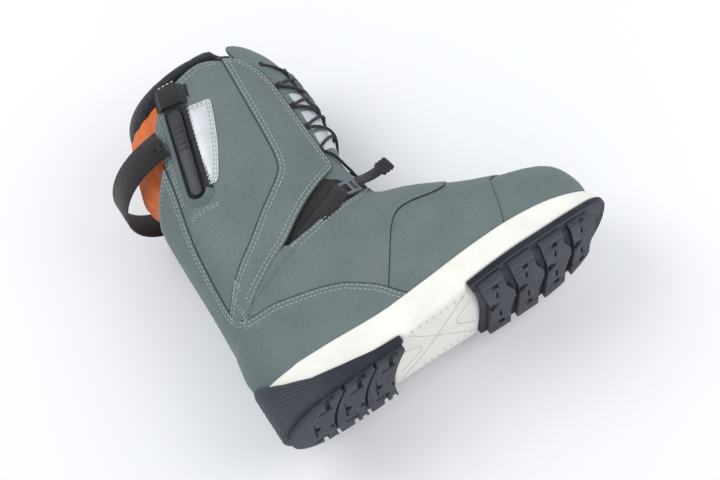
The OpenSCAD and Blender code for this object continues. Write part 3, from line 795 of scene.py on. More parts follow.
def side_panel(flip, name):
    back = side([(30, 92), (18, 96), (10, 106), (10, 124), (12, 145), (15, 168), (22, 196), (29, 226)])
    collar = side([(29, 226)] + COLLAR)
    front = side([(122, 292), (131, 282), (131, 262), (128, 236), (125, 206), (121, 182), (114, 166),
                  (92, 149), (68, 132), (50, 119), (30, 106), (14, 90)])
    outline = np.concatenate([back[:-1], collar[:-1], front])
    seam = side(COLLAR)
    if flip:
        outline, seam = medial(outline), medial(seam)
    panel("side_panel_" + name, outline, 0.6, 1.8, FINE, "ankle", ["cuff_panel_" + name], seams=[seam])


def eyestay(flip, name):
    back = side(EYESTAY_SEAM)
    front = side(FRONT_EDGE)
    gusset = side(GUSSET_EDGE)
    outline = np.concatenate([back[::-1][:-1], side([(126, 292), (122, 292)], 4)[:-1],
                              front[:-1], gusset])
    seams = [back, np.concatenate([front[:-1], gusset])]
    if flip:
        outline, seams = medial(outline), [medial(s) for s in seams]
    panel("eyestay_band_" + name, outline, 2.0, 1.8, FINE, "ankle", ["eyestay_" + name],
          seams=seams, piping=seams)


def gusset(flip, name):
    outline = side([(72, 108), (98, 113), (123, 118), (146, 119), (159, 124)])
    upper = side([(160, 172), (150, 172), (128, 160), (107, 148), (84, 133), (70, 122)])
    outline = np.concatenate([outline, upper])
    if flip:
        outline = medial(outline)

    def pleats(wa):
        return 0.7 * np.sin(wa[:, 0] * 26)

    panel("gusset_fold_" + name, outline, -1.6, 1.2, [MATERIALS["textile"]] * 2, "ankle",
          ["gusset_" + name], relief=pleats, spacing=2.5)


def tongue():
    half = 53
    edge = through([(5.7, 24), (6.6, 33), (7.2, 46), (8.5, half), (10.5, half), (11.6, 50), (12.2, 44),
                    (12.45, 34), (12.52, 20), (12.54, 0)])
    left = np.stack([edge[:, 0], 180 - edge[:, 1]], -1)
    outline = np.concatenate([left[:-1], medial(left, True)[::-1]])
    seam = outline[outline[:, 0] > 10.6]

    def bulge(wa):
        return 4.5 * smooth((wa[:, 0] - 10.7) / 0.9) * (1 - 0.35 * smooth((wa[:, 0] - 12.1) / 0.5))

    panel("tongue", outline, -1.4, 2.2, LEATHER, "ankle", ["tongue_shaft", "tongue_instep"],
          seams=[seam], rows=(2.2, 4.4), relief=bulge)
    for k, (low, high) in enumerate([(7.75, 8.45), (8.6, 9.3), (9.45, 10.0)]):
        patch = np.concatenate([ring_line(low, 148, 212), ring_line(high, 212, 148)])
        panel(f"tongue_patch_{k + 1}", patch, -0.8, 0.8, [MATERIALS["film"]] * 2, "cuff",
              ["tongue_patches"] if k == 0 else [])


def open_back(w, a):
    """1 in the middle of the open back of the shell, 0 at its edges."""
    limit = np.interp(w, (10, 10.8, 11.4, 11.8, 12.1, 12.4), (38, 50, 51, 56, 68, 90))
    return 1 - smooth((abs(a) - 14) / (limit - 14))


def liner():
    def ribs(wa):
        bulge = smooth((wa[:, 0] - 10.05) / 0.6) * open_back(wa[:, 0], wa[:, 1])
        return 1.3 * abs(np.sin(np.radians(wa[:, 1]) * 15)) - 0.4 + 11 * bulge

    top = ring_line(12.0, 149, -149, 120)
    top[:, 0] -= 0.2 * smooth((abs(top[:, 1]) - 66) / 16)
    outline = np.concatenate([ring_line(7.1, -149, 149, 120), top])
    panel("liner_wall", outline, -4.6, 8.0, [MATERIALS["orange"], MATERIALS["lining"], MATERIALS["lining"]],
          "cuff", ["liner_cuff"], relief=ribs, spacing=3.0, inner_slot=1)
    outline = np.concatenate([ring_line(7.1, 151, 209), ring_line(12.25, 209, 151)])
    pad = panel("liner_tongue_pad", outline, -5.0, 8.0, [MATERIALS["lining"]] * 2, "cuff",
                ["liner_tongue"])


def cloth_puff(obj, voxel, pressure, limit, frames=16):
    """Swells a closed piece like stuffed fabric and keeps the result."""
    remesh = obj.modifiers.new("remesh", "REMESH")
    remesh.mode = "VOXEL"
    remesh.voxel_size = voxel * MM
    apply_modifiers(obj)
    before = np.array([v.co for v in obj.data.vertices])
    cloth = obj.modifiers.new("cloth", "CLOTH")
    cloth.settings.quality = 5
    cloth.settings.mass = 0.005
    cloth.settings.tension_stiffness = 15
    cloth.settings.use_pressure = True
    cloth.settings.uniform_pressure_force = pressure
    cloth.settings.effector_weights.gravity = 0
    scene = bpy.context.scene
    for k in range(1, frames + 1):
        scene.frame_set(k)
    apply_modifiers(obj)
    scene.frame_set(1)
    moved = np.array([v.co for v in obj.data.vertices]) - before
    size = np.linalg.norm(moved, axis=1, keepdims=True)
    moved *= np.minimum(1, limit * MM / np.maximum(size, 1e-9))
    obj.data.vertices.foreach_set("co", (before + moved).ravel())
    subdivision = obj.modifiers.new("subdivision", "SUBSURF")
    subdivision.levels = subdivision.render_levels = 1
    apply_modifiers(obj)
    obj.data.polygons.foreach_set("use_smooth", [True] * len(obj.data.polygons))


def collar():
    """Padded mesh band round the top of the liner, thicker at the back."""
    turn = np.radians(np.arange(0, 360, 30))
    angles = np.linspace(-146, 146, 104)
    verts = []
    for a in angles:
        low = np.interp(abs(a), (0, 40, 60, 75, 95, 124, 146),
                        (11.95, 11.95, 12.0, 12.12, 12.15, 12.0, 11.95))
        high = 13.3 - 0.55 * smooth((abs(a) - 30) / 80) - 0.35 * smooth((abs(a) - 126) / 10)
        middle = mix(5.6, 0.4, open_back(12.4, a)) + 3.8 * smooth((abs(a) - 121) / 11)
        half = mix(5.4, 7.2, open_back(12.4, a)) - 2.4 * smooth((abs(a) - 118) / 14)
        for t in turn:
            depth = middle - half * math.copysign(abs(math.cos(t)) ** 0.75, math.cos(t))
            w = mix(low, high, 0.5 + 0.5 * math.copysign(abs(math.sin(t)) ** 0.8, math.sin(t)))
            verts.append(lifted((w, a), -depth))
    obj = new_mesh("collar_pad", np.array(verts), closed_stack(len(angles), len(turn)), [MATERIALS["mesh"]])
    cloth_puff(obj, voxel=3.0, pressure=60, limit=3)
    attach(obj, "cuff")
    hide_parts("liner_collar")


# ---------------------------------------------------------------- straps and laces
def strip(middle, across, width, thickness):
    """Vertices, faces and UV of a flat strap along the middle line; across gives its width way."""
    p = np.asarray(middle, float)
    across = unit(np.broadcast_to(np.asarray(across, float), p.shape))
    n = unit(np.cross(across, np.gradient(p, axis=0)))
    h, t = width / 2, thickness / 2
    section = [(-h + 0.6, -t), (0, -t * 0.9), (h - 0.6, -t), (h, 0), (h - 0.6, t), (0, t * 0.9),
               (-h + 0.6, t), (-h, 0)]
    verts = np.stack([p + across * s[0] + n * s[1] for s in section], axis=1).reshape(-1, 3)
    run = np.concatenate([[0], np.cumsum(np.linalg.norm(np.diff(p, axis=0), axis=1))])
    k = len(section)
    faces, uvs = [], []
    for i in range(len(p) - 1):
        for j in range(k):
            m = (j + 1) % k
            faces.append((i * k + j, i * k + m, (i + 1) * k + m, (i + 1) * k + j))
            uvs += [(run[i], section[j][0]), (run[i], section[m][0]),
                    (run[i + 1], section[m][0]), (run[i + 1], section[j][0])]
    for end in (tuple(range(k))[::-1], tuple(range((len(p) - 1) * k, len(p) * k))):
        faces.append(end)
        uvs += [(0, 0)] * k
    return verts, faces, uvs


def tape(name, strips, material, body, nodes=()):
    verts, faces = joined([part[:2] for part in strips])
    obj = new_mesh(name, verts, faces, [material], sharp=60)
    layer = obj.data.uv_layers.new(name="UVMap")
    layer.data.foreach_set("uv", np.array(sum([part[2] for part in strips], []), float).ravel())
    return finish(obj, body, nodes)


LOOP_PIVOT, LOOP_HALF, LOOP_BACK, LOOP_WIDTH = (44, 250), 56, 11, 25


def pull_loop():
    f = np.linspace(0, 1, 61)
    s = np.sin(math.pi * f) ** 0.75
    middle = np.stack([mix(LOOP_PIVOT[0], -LOOP_BACK, s), -LOOP_HALF * np.cos(math.pi * f) * (1 - 0.1 * s),
                       LOOP_PIVOT[1] - 4 * s], -1)
    ends = [np.array([(48.5, way * (LOOP_HALF + 1), LOOP_PIVOT[1])]) for way in (-1, 1)]
    middle = through(np.concatenate([ends[0], middle[::4], ends[1]]), 4)
    tape("heel_pull_loop", [strip(middle, (0, 0, 1), LOOP_WIDTH, 1.9)], MATERIALS["webbing"], "heel_loop",
         ["pull_loop"])
    anchors = []
    for flip in (False, True):
        for turn in (0, math.pi / 2):
            reach = np.linspace(-5.5, 5.5, 9)[:, None]
            way = np.array([math.cos(turn), 0, math.sin(turn)])
            spot = np.array([LOOP_PIVOT[0], -LOOP_HALF - 1.3 - turn * 0.3, LOOP_PIVOT[1]])
            points = spot + reach * way
            if flip:
                points = points * (1, -1, 1)
            anchors.append(strip(points, np.cross(way, (0, 1, 0)), 4, 1.2))
    tape("loop_bar_tacks", anchors, MATERIALS["webbing"], "cuff", ["loop_anchors"])


LACE_R = 1.3
LACE_ROWS = [7.9, 8.75, 9.55, 10.3, 11.1]


def laces():
    def across(low, high, flip, over, start=142, end=218):
        f = np.linspace(0, 1, 24)
        bow = np.sin(math.pi * f)
        lift = 0.4 + 1.4 * bow + (0.9 if over else -0.4) * bow ** 4
        a = mix(start, end, f)
        line = np.stack([mix(low, high, f), 360 - a if flip else a], -1)
        return tube(lifted(line, lift), LACE_R, 8)

    parts = [across(LACE_ROWS[k], LACE_ROWS[k + 1], flip, flip == (k % 2 == 0))
             for flip in (False, True) for k in range(len(LACE_ROWS) - 1)]
    finish(new_mesh("crossed_laces", *joined(parts), [MATERIALS["lace"]]), "cuff", ["lace_upper"])
    low = [across(LACE_ROWS[0], 6.35, flip, flip, 142, 192) for flip in (False, True)]
    finish(new_mesh("instep_lace", *joined(low), [MATERIALS["lace"]]), "ankle", ["lace_lower"])
    for flip, name in SIDES:
        folds = []
        for w in LACE_ROWS:
            path = np.array([(138, -1.2), (141, -0.6), (143.4, 1.4), (145.2, 2.0), (146.8, 1.3), (147, -0.4),
                             (145.6, -1.3), (143, -1.2), (140, -1.3)])
            path = through(path, 3)
            a = 360 - path[:, 0] if flip else path[:, 0]
            line = np.stack([np.full(len(path), w), a], -1)
            folds.append(strip(lifted(line, path[:, 1]), slopes(w, a[0])[0], 5.5, 0.7))
        tape("lace_tab_" + name, folds, MATERIALS["webbing"], "cuff", ["lace_loops_" + name])


def lace_guide():
    outline = through([(9.45, 169), (9.8, 165.5), (10.4, 165), (10.9, 167), (11.12, 173), (11.16, 180)], 4)
    outline = np.concatenate([outline[:-1], medial(outline, True)[::-1]])
    outline = np.concatenate([outline[:-1], ring_line(9.45, 191, 169, 8)[1:-1]])

    def ribs(wa):
        middle = 1 - smooth((abs(wa[:, 1] - 180) - 9) / 3)
        return 0.9 * middle * np.sin(wa[:, 0] * 20) - 1.6 * smooth((abs(wa[:, 1] - 180) - 11) / 4)

    panel("lace_guide_body", outline, 3.0, 4.0, [MATERIALS["guide"]] * 2, "cuff", ["lace_guide"], relief=ribs,
          spacing=1.3)
    bars = []
    for w in (6.08, 6.3):
        for flip in (False, True):
            a = np.linspace(158, 170, 9)
            line = np.stack([np.full(9, w), 360 - a if flip else a], -1)
            bars.append(strip(lifted(line, 1.2 - abs(a - 164) * 0.25), slopes(w, 164)[0], 6, 1.0))
    tape("instep_loops", bars, MATERIALS["webbing"], "foot", ["instep_lace_loops"])


# ---------------------------------------------------------------- ankle strap
def buckle_seat():
    """Origin and axes of the buckle, from its two hinges."""
    joints = {joint["name"]: joint for joint in frame["record"]["behaviour"]["joints"]}
    rear, front = (np.array(joints[name]["pos_m"]) / MM for name in ("buckle_tilt", "strap_swing"))
    y = unit(-np.array(joints["buckle_tilt"]["axis"]))
    way = unit(front - rear)
    turn = math.atan2(HINGE_RISE, BUCKLE_LENGTH)
    x = math.cos(turn) * way - math.sin(turn) * np.cross(way, y)
    return rear + BUCKLE_LENGTH / 2 * x - (HEEL, 0, 0), np.stack([x, y, np.cross(x, y)])


BUCKLE_LENGTH, HINGE_RISE = 16, 4.2


def ankle_strap():
    seat_at = buckle_seat()
    a = np.linspace(97, 128, 20)
    line = np.stack([mix(6.08, 6.3, (a - 97) / 31), a], -1)
    middle = lifted(line, mix(-1.2, 0.8, smooth((a - 100) / 20)))
    end = stand([(-11, 0, 1.2), (-7.5, 0, 1.4), (-5, 0, 2.2)], seat_at)
    middle = through(np.concatenate([middle[::4], end]), 5)
    up = mix(slopes(*line[0])[0] * 0.1, seat_at[1][1], smooth(np.linspace(0, 1.3, len(middle)))[:, None])
    tape("ankle_strap_webbing", [strip(middle, up, 14, 1.6)], MATERIALS["strap"], "foot", ["ankle_strap"])
    rails = [rounded_block((-8, y - 1.3, 0.2), (8, y + 1.3, 3.0), 0.8) for y in (-5.2, 5.2)]
    bars = [rounded_block((x - 1.2, -5, z), (x + 1.2, 5, z + 1.9), 0.8)
            for x, z in ((-6.6, 0.3), (0, 1.3), (6.6, 0.9))]
    verts, faces = joined(rails + bars)
    finish(new_mesh("buckle_frame", stand(verts, seat_at), faces, [MATERIALS["grey"]], sharp=45), "buckle",
           ["ladder_buckle"])
    tail = through([(7.8, 0, 4.6), (11, 0, 4.9), (16, 0, 4.6), (22, 0, 4.9), (28, 0, 6.2), (33, 0, 8.0)], 5)
    tape("strap_tail_webbing", [strip(stand(tail, seat_at), seat_at[1][1], 9, 1.5)], MATERIALS["strap"],
         "strap", ["strap_tail"])
    parts = [rounded_block((0, -6, -1.4), (12, 6, 1.4), 1.1)]
    parts += [rounded_block((x, -6.4, -1.9), (x + 1.8, 6.4, 1.9), 0.8) for x in (1.4, 5, 8.6)]
    verts, faces = joined(parts)
    tilt = math.radians(24)
    turned = np.stack([verts[:, 0] * math.cos(tilt) - verts[:, 2] * math.sin(tilt), verts[:, 1],
                       verts[:, 0] * math.sin(tilt) + verts[:, 2] * math.cos(tilt)], -1) + (31.5, 0, 7.6)
    finish(new_mesh("strap_end_grip", stand(turned, seat_at), faces, [MATERIALS["black"]], sharp=45),
           "strap", ["strap_end"])


# ---------------------------------------------------------------- handle pockets
def pocket(flip, name):
    """A dark slot with a raised rim, the lace handle in it, a patch in front and a keeper above; the keeper's
    dark ribbed band is made wide as painted shade on the leather between the pocket's mouth and the collar.
    """
    body = ("medial" if flip else "lateral") + "_pull"
    place = seat(CUFF + 3.22, 69, 0.7, -11)
    half, low, high = 7.9, -40, 41
    turn = np.radians(np.linspace(180, 360, 17))
    arc = np.stack([half * np.cos(turn), low + half + half * np.sin(turn)], -1)
    count = 24
    rise = np.linspace(high, low + half + 1, count)
    path = np.concatenate([np.stack([np.full(count, -half), rise], -1), arc[1:-1],
                           np.stack([np.full(count, half), rise[::-1]], -1)])
    front_start = count + len(arc) - 3       # from here the rim runs up its front side
    out = outward(np.gradient(path, axis=0))
    rows = [(0, 0.3, None), (0.1, 3.4, None), (0.8, 4.1, None), (1.9, 3.7, None), (3.0, None, 2.1),
            (4.6, None, 1.8), (5.0, None, 0.4), (2.0, None, 0.2)]
    grid = []
    for shift, height, lift in rows:
        flat_points = path + shift * out
        if lift is None:
            grid.append(stand(np.column_stack([flat_points, np.full(len(path), height)]), place))
        else:
            grid.append(lifted(under(place, flat_points), lift))
    n = len(rows)
    verts = np.stack(grid, 1).reshape(-1, 3)
    faces = [(i * n + k, (i + 1) * n + k, (i + 1) * n + (k + 1) % n, i * n + (k + 1) % n)
             for i in range(len(path) - 1) for k in range(n)]
    faces += [tuple(range(n)), tuple(range((len(path) - 1) * n, len(path) * n))[::-1]]
    slots = [int(i >= front_start) for i in range(len(path) - 1) for k in range(n)] + [0, 1]
    rim = new_mesh("pocket_rim_" + name, *mirrored(verts, faces, flip),
                   [MATERIALS["leather_fine"], MATERIALS["textile"]], slots, sharp=60)
    finish(rim, "cuff", ["pocket_" + name])
    floor = np.concatenate([arc, [(half, high + 6), (-half, high + 6)]])
    verts, faces = plate(floor, -0.6, 1.0, 0.3)
    finish(new_mesh("pocket_lining_" + name, *mirrored(stand(verts, place), faces, flip),
                    [MATERIALS["lining"]], sharp=40), "cuff", [])

    tip = np.radians(np.linspace(0, 180, 15))
    top = np.stack([6.2 * np.cos(tip), 34 + 6.2 * np.sin(tip)], -1)
    bottom = np.stack([-4.9 * np.cos(tip), -32 - 4.9 * np.sin(tip)], -1)
    verts, faces = plate(np.concatenate([top, bottom]), 1.5, 3.2, 0.6)
    grips = [rounded_block((-4.4, y, 2.8), (4.4, y + 2, 3.7), 0.4) for y in (4, 9, 14, 19, 24)]
    verts, faces = joined([(verts, faces)] + grips)
    handle = new_mesh("pull_handle_" + name, *mirrored(stand(verts, place), faces, flip),
                      [MATERIALS["handle"]], sharp=45)
    finish(handle, body, ["handle_" + name])

    patch = side([(80, 265), (90, 262), (99, 259), (96, 248), (91, 236), (84, 221), (77, 209), (68, 196),
                  (62, 199), (63, 214), (66, 228), (71, 244), (76, 258), (80, 265)], 4)[:-1]
    if flip:
        patch = medial(patch)
    panel("reflective_patch_" + name, patch, 2.3, 1.6, [MATERIALS["film"], MATERIALS["edge"]], "cuff",
          ["reflective_" + name], seams=[np.concatenate([patch, patch[:1]])], rows=(1.6, 3.6),
          spacing=3)
    # The keeper is partly real and partly painted shade: its dark ribbed band is made 18 mm wide so that it
    # also covers shaded leather between the pocket's mouth and the collar.
    x = np.array([-15, -12.5, -10.5, -9, -8, -5, 0, 5, 8, 9, 10.5, 12.5, 15])
    arch = np.array([-9, -9, 1.2, 3.2, 4.3, 4.7, 4.8, 4.7, 4.3, 3.2, 1.2, -9, -9])
    wa = under(place, np.stack([x, np.full(len(x), 53)], -1))
    leather_z = (lifted(wa, 1.2) - place[0]) @ place[1].T
    height = np.maximum(leather_z[:, 2], arch)
    middle = through(np.column_stack([x, np.full(len(x), 53.0), height]), 3)
    middle, way = stand(middle, place), place[1][1]
    if flip:
        middle, way = middle * (1, -1, 1), way * (1, -1, 1)
    tape("handle_keeper_and_shade_band_" + name, [strip(middle, way, 18, 0.8)], MATERIALS["strap"], "cuff",
         ["keeper_" + name])
    lines = [[(-14.5, 42), (-14.5, -10), (-14.5, -40)], [(-16.7, 42), (-16.7, -10), (-16.7, -38)],
             [(-13, -50), (0, -48), (13, -47)], [(-13, -52.2), (0, -50.2), (13, -49.2)]]
    lines = [resample(under(place, through(line, 8)), 2) for line in lines]
    if flip:
        lines = [medial(line) for line in lines]
    thread = stitches("pocket_stitching_" + name, lines, 0.95, [MATERIALS["thread"]])
    finish(thread, "cuff", [])
    lines = [[(x, 40), (x, 0), (x, low + 8)] for x in (10.6, 12.2)]
    lines += [[(x, 63.4), (x + 4, 64), (x + 8, 64.2)] for x in (-10, 0)] + [[(-9, 67), (0, 67.6), (8, 68)]]
    lines = [resample(under(place, through(line, 8)), 2) for line in lines]
    if flip:
        lines = [medial(line) for line in lines]
    thread = stitches("mouth_stitching_" + name, lines, 2.2, [MATERIALS["white_thread"]])
    finish(thread, "cuff", [])


# ---------------------------------------------------------------- sole
SOLE = np.array([(0, 0), (7, -22), (28, -37), (65, -41), (110, -40), (150, -46), (190, -54),
                 (225, -55.5), (258, -47), (286, -28), (301, -8), (304, 7), (297, 28), (272, 48),
                 (238, 55.5), (200, 55), (150, 48), (110, 44), (65, 43.5), (28, 38), (7, 22)], float)
TREAD, PLATE = 5, 6
HEEL_BREAST, FORE_BREAST = (91, 32, 131), (179, 0, 221)     # edge x, centre y and radius
ROCKER_START, ROCKER_R = 228, 230


def breast(y, front):
    """Where a rubber part ends beside the arch."""
    x, middle, radius = FORE_BREAST if front else HEEL_BREAST
    bow = radius - np.sqrt(radius ** 2 - (np.asarray(y, float) - middle) ** 2)
    return x - bow if front else x + bow


def sole_edge(out, per=12):
    n = len(SOLE)
    t = np.arange(n * per) / per

    def at(t):
        i = np.floor(t).astype(int)
        f = (t - i)[:, None]
        return spline(*(SOLE[(i + k) % n] for k in (-1, 0, 1, 2)), f)

    return at(t) + out * outward(at(t + 0.05) - at(t + n - 0.05))


def rocker(x):
    return np.where(x < ROCKER_START, 0, (x - ROCKER_START) ** 2 / (2 * ROCKER_R))


def feather(x):
    r = RINGS[0]
    return np.where(x < r[2], mix(r[1], r[3], (x - r[0]) / (r[2] - r[0])),
                    mix(r[3], r[5], (x - r[2]) / (r[4] - r[2])))


def midsole_bottom(p):
    x, y = p[:, 0], p[:, 1]
    arch = smooth((x - breast(y, False)) / 3) * smooth((breast(y, True) - x) / 3)
    return TREAD + PLATE - arch * (PLATE - 2.6) + rocker(x)


def loft(rings_list, low_z, high_z, materials, name):
    """Closed body from stacked outlines, with its ends filled by triangles."""
    verts = np.concatenate(rings_list)
    faces = ring_walls(len(rings_list), len(rings_list[0]))
    for ring, height, flip in ((rings_list[0], low_z, True), (rings_list[-1], high_z, False)):
        flat_points, tris = fill(ring[:, :2], 3.6)
        start = len(verts)
        z = height(flat_points)
        verts = np.concatenate([verts, np.column_stack([flat_points, z])])
        faces += [tuple(start + t for t in (tri[::-1] if flip else tri)) for tri in tris]
    obj = new_mesh(name, verts, faces, materials)
    weld = obj.modifiers.new("weld", "WELD")
    weld.merge_threshold = 0.05 * MM
    return apply_modifiers(obj, sharp=50)


def midsole():
    def level(out, share, drop=0.0):
        edge = sole_edge(out)
        low, high = midsole_bottom(edge), feather(edge[:, 0]) + 1.2
        return np.column_stack([edge, mix(low, high, share) + drop])

    levels = [level(-2.2, 0), level(-0.7, 0.02, 0.5), level(0, 0.12), level(-0.6, 0.45), level(-0.2, 0.8),
              level(-0.4, 0.94), level(-1.2, 1)]
    obj = loft(levels, midsole_bottom, lambda p: feather(p[:, 0]) + 1.2,
               [MATERIALS["foam"]], "midsole_shell")
    attach(obj, "foot")
    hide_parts("midsole")


EDGE_POINTS, ARC_POINTS = 150, 30


def cut_edge(out, front):
    """Closed outline of one rubber part: the sole's edge and the hollow edge beside the arch."""
    edge = sole_edge(out, 24)
    keep = (edge[:, 0] > breast(edge[:, 1], front)) == front
    first = np.where(keep & ~np.roll(keep, 1))[0][0]
    edge = np.roll(edge, -first, 0)[:keep.sum()]
    run = np.concatenate([[0], np.cumsum(np.linalg.norm(np.diff(edge, axis=0), axis=1))])
    t = np.linspace(0, run[-1], EDGE_POINTS)
    edge = np.stack([np.interp(t, run, edge[:, k]) for k in (0, 1)], -1)
    y = np.linspace(edge[-1, 1], edge[0, 1], ARC_POINTS + 2)[1:-1]
    return np.concatenate([edge, np.stack([breast(y, front), y], -1)])


def prism(outline, low, high):
    p = np.asarray(outline, float)
    verts = np.concatenate([np.column_stack([p, np.full(len(p), z)]) for z in (low, high)])
    return verts, closed_stack(2, len(p))


def cut(obj, other, operation):
    m = obj.modifiers.new("cut", "BOOLEAN")
    m.operation = operation
    m.solver = "EXACT"
    m.use_self = True
    m.object = other
    apply_modifiers(obj)
    bpy.data.objects.remove(other)


def lugs(name, outlines, cutters, front, materials):
    """Tread blocks clipped to the sole, with slots cut in them and eased edges."""
    blocks = [prism(anticlockwise(o), 0, TREAD + 0.3) for o in outlines]
    obj = new_mesh(name, *joined(blocks), materials, smooth_shade=False)
    shape = cut_edge(-2.0, front)
    cut(obj, new_mesh("clip", *prism(shape, -2, TREAD + 2), []), "INTERSECT")
    holes = [prism(anticlockwise(c), -1, depth) for c, depth in cutters]
    cut(obj, new_mesh("slots", *joined(holes), []), "DIFFERENCE")
    bevel(obj, 0.55, 2, 35)
    return apply_modifiers(obj, sharp=35)


def box_outline(x0, x1, y0, y1):
    return [(x0, y0), (x1, y0), (x1, y1), (x0, y1)]


HEEL_ROWS, HEEL_LUG, FORE_ROWS, FORE_LUG, LEAN = (10, 38, 66), 25.4, (184, 211, 238, 265), 22.5, 7


def outsole_heel():
    y = np.linspace(-58, 58, 41)
    pads, slots = [], []
    for x in HEEL_ROWS:
        bow = breast(y, False) - HEEL_BREAST[0]
        back = x + bow - 14 * (x == HEEL_ROWS[0])
        pads.append(np.concatenate([np.stack([back, y], -1)[::-1], np.stack([x + HEEL_LUG + bow, y], -1)]))
        for way in (-1, 1):
            edge = x + float(breast(way * 26, False)) - HEEL_BREAST[0]
            slots += [(slanted(edge + 14, way * 24, 4, way * 18), 3),
                      (slanted(edge + 7, way * 22, 12, way * 3.5), 3),
                      (slanted(edge + 20, way * 36, 4, way * 14), 3)]
        middle = x + 5
        slots += [([(middle + 5, 0), (middle + 9, -5), (middle + 13, 0), (middle + 9, 5)], 2.5),
                  (slanted(middle + 8.2, -14, 1.6, 28), 1.6),
                  ([(middle + 17, 12), (middle + 21, 8), (middle + 21, 16)], 2.5)]
    materials = [MATERIALS["rubber"]]
    finish(lugs("heel_tread_pads", pads, slots, False, materials), "foot", [])

    def cup_top(x):
        return np.interp(x, (-3, 3, 12, 24, 42, 66, 92, 112), (51, 48, 40, 31, 22, 16.5, 12.5, 11))

    steps = 27
    levels = []
    for k in range(steps + 1):
        f = k / steps
        flat_edge = cut_edge(0, False)
        on_edge = np.arange(len(flat_edge)) < EDGE_POINTS
        wide = mix(2.8, 1.0, smooth((flat_edge[:, 0] - 62) / 30)) * np.where(on_edge, 1, 0.2)
        ridge = -0.55 * (k % 3 == 2)
        ring = widened(flat_edge, wide + ridge - 1.2 * (k == 0) - 0.9 * (k == steps))
        levels.append(np.column_stack([ring, mix(TREAD, cup_top(flat_edge[:, 0]), f)]))
    inner = cut_edge(0.15, False)
    levels.append(np.column_stack([inner, cup_top(inner[:, 0]) - 0.3]))
    levels.append(np.column_stack([inner, np.full(len(inner), TREAD + PLATE - 0.1)]))
    levels[0] = np.column_stack([cut_edge(-1.0, False), np.full(len(inner), float(TREAD))])
    obj = loft(levels, lambda p: np.full(len(p), float(TREAD)),
               lambda p: np.full(len(p), TREAD + PLATE - 0.1), materials, "heel_cup")
    finish(obj, "foot", ["outsole_heel"])


def slanted(x, y, length, width):
    """A small slot running across the sole, leaning like the tread."""
    lean = -0.12 * width
    return [(x, y), (x + length, y), (x + length + lean, y + width), (x + lean, y + width)]


def anticlockwise(outline):
    x, y = np.asarray(outline, float).T
    return outline if np.sum(x * np.roll(y, -1) - np.roll(x, -1) * y) > 0 else outline[::-1]


def widened(outline, distance):
    way = np.roll(outline, -1, 0) - np.roll(outline, 1, 0)
    return outline + np.asarray(distance)[..., None] * outward(way)


def outsole_forefoot():
    pads, slots = [], []
    for x in FORE_ROWS:
        pads.append([(x - LEAN, -62), (x + FORE_LUG - LEAN - 2, -62), (x + FORE_LUG - LEAN + 1, -24),
                     (x + FORE_LUG, -6), (x + FORE_LUG, 6), (x + FORE_LUG - LEAN + 1, 24),
                     (x + FORE_LUG - LEAN - 2, 62), (x - LEAN, 62), (x, 0)])
        for way in (-1, 1):
            for y, size in ((40, 20), (33, 13)):
                slots.append((box_outline(x - 3, x - 3 + size, *sorted((way * y, way * (y + 1.6)))), 2.5))
            slots.append((box_outline(x + 4, x + 9, *sorted((way * 34, way * 41))), 3))
            slots.append((box_outline(x + 6, x + 8, *sorted((way * 14, way * 26))), 2))
        slots.append(([(x + 1, -7), (x + 8, 0), (x + 1, 7), (x - 4, 0)], 2.5))
    materials = [MATERIALS["rubber"]]
    tread = lugs("forefoot_tread_pads", pads, slots, True, materials)
    raise_toe(tread)
    finish(tread, "foot", [])
    levels = []
    for d in (13, 12.2, 10.8, 10, 8.6, 7.8, 6.4, 5.6, 4.2, 3.4, 2.0):
        levels.append((-d, TREAD + 0.9 * (round((13 - d) / 1.1) % 4 >= 2)))
    levels += [(-0.4, TREAD), (0.6, TREAD + 0.7), (0.9, TREAD + 1.2)]
    for k in range(4):
        levels += [(0.3, TREAD + 1.7 + k), (1.0, TREAD + 2.2 + k)]
    levels += [(0.6, TREAD + PLATE), (-2, TREAD + PLATE)]
    rows = [np.column_stack([cut_edge(d, True), np.full(EDGE_POINTS + ARC_POINTS, float(z))])
            for d, z in levels]
    plate_obj = loft(rows, lambda p: np.full(len(p), float(TREAD)),
                     lambda p: np.full(len(p), float(TREAD + PLATE)), materials, "forefoot_plate")
    raise_toe(plate_obj)
    finish(plate_obj, "foot", ["outsole_forefoot"])


def raise_toe(obj):
    """Bends the toe end up with the rocker of the sole."""
    co = np.empty(len(obj.data.vertices) * 3)
    obj.data.vertices.foreach_get("co", co)
    co = co.reshape(-1, 3)
    co[:, 2] += rocker(co[:, 0] / MM - HEEL) * MM
    obj.data.vertices.foreach_set("co", co.ravel())
    obj.data.update()


def arch_lines():
    z = TREAD + 2.5
    lines = [[(118, -36), (134, -8), (168, 40)], [(100, 38), (130, 10), (168, -40)],
             [(104, -14), (120, -6), (124, 2), (120, 10), (103, 22)],
             [(172, -24), (160, -9), (157, 0), (160, 9), (172, 24)]]
    parts = []
    for line in lines:
        p = through(line, 8)
        parts.append(tube(np.column_stack([p, np.full(len(p), z + 0.1)]), 0.4, 6))
    for x in np.linspace(122, 166, 8):
        for way in (-1, 1):
            p = np.column_stack([np.full(5, x), way * np.linspace(36, 41, 5), np.full(5, z)])
            parts.append(tube(p, 0.35, 6))
    finish(new_mesh("arch_relief", *joined(parts), [MATERIALS["relief"]]), "foot", [])


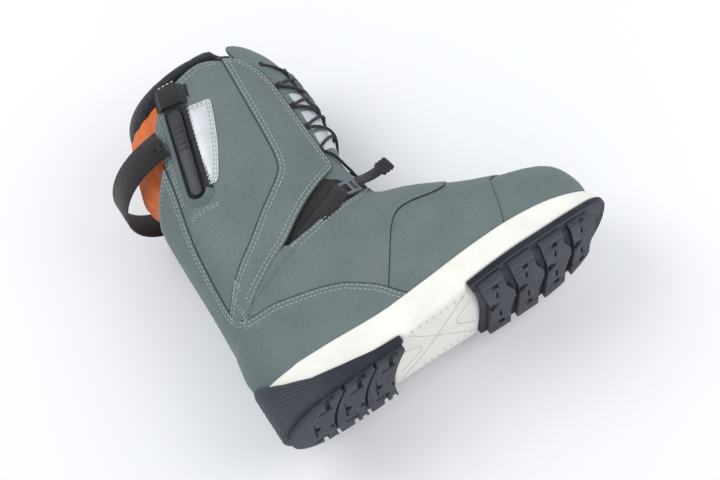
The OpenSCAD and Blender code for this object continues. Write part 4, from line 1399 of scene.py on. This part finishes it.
# ---------------------------------------------------------------- stage
def one_sided(name, colour):
    material = bpy.data.materials.new(name)
    material.use_nodes = True
    tree = material.node_tree
    shader = tree.nodes["Principled BSDF"]
    shader.inputs["Base Color"].default_value = (*colour, 1)
    shader.inputs["Roughness"].default_value = 0.9
    clear = tree.nodes.new("ShaderNodeBsdfTransparent")
    blend = tree.nodes.new("ShaderNodeMixShader")
    geometry = tree.nodes.new("ShaderNodeNewGeometry")
    tree.links.new(geometry.outputs["Backfacing"], blend.inputs[0])
    tree.links.new(shader.outputs[0], blend.inputs[1])
    tree.links.new(clear.outputs[0], blend.inputs[2])
    tree.links.new(blend.outputs[0], tree.nodes["Material Output"].inputs["Surface"])
    return material


def plane(name, corners, material):
    mesh = bpy.data.meshes.new(name)
    mesh.from_pydata([tuple(c) for c in corners], [], [(0, 1, 2, 3)])
    mesh.materials.append(material)
    obj = bpy.data.objects.new(name, mesh)
    bpy.context.scene.collection.objects.link(obj)
    return obj


WALL_GAP = 0.012                             # metres between the boot and the backdrop


def stage():
    far = cad_box[1][1] + WALL_GAP
    wide = 3.0
    plane("backdrop", [(-wide, far, -wide), (wide, far, -wide), (wide, far, wide), (-wide, far, wide)],
          one_sided("backdrop paper", (0.9, 0.905, 0.92)))
    floor = plane("floor", [(-wide, -wide, 0), (wide, -wide, 0), (wide, wide, 0), (-wide, wide, 0)],
                  one_sided("pale floor", (0.9, 0.905, 0.92)))
    floor.visible_shadow = floor.visible_diffuse = floor.visible_glossy = False
    world = bpy.data.worlds.new("studio")
    world.use_nodes = True
    world.node_tree.nodes["Background"].inputs[0].default_value = (0.93, 0.95, 1.0, 1)
    world.node_tree.nodes["Background"].inputs[1].default_value = 0.8
    bpy.context.scene.world = world
    bpy.context.scene.view_settings.view_transform = "Standard"
    for name, spot, size, power in (("key", (-0.55, -1.3, 0.75), 1.0, 7), ("fill", (0.9, -1.1, -0.5), 1.0, 6),
                                    ("rim", (-0.2, 0.9, 1.2), 1.0, 3)):
        data = bpy.data.lights.new(name, "AREA")
        data.shape = "DISK"
        data.size = size
        data.energy = power
        light = bpy.data.objects.new(name, data)
        light.location = spot
        light.rotation_mode = "QUATERNION"
        light.rotation_quaternion = (Vector((0, 0, 0.13)) - Vector(spot)).to_track_quat("-Z", "Y")
        bpy.context.scene.collection.objects.link(light)


heel_wrap()
quarters()
vamp()
toe_cap()
for flip, name in SIDES:
    side_panel(flip, name)
    eyestay(flip, name)
    gusset(flip, name)
tongue()
liner()
collar()
pull_loop()
laces()
lace_guide()
ankle_strap()
for flip, name in SIDES:
    pocket(flip, name)
midsole()
outsole_heel()
outsole_forefoot()
arch_lines()
stage()
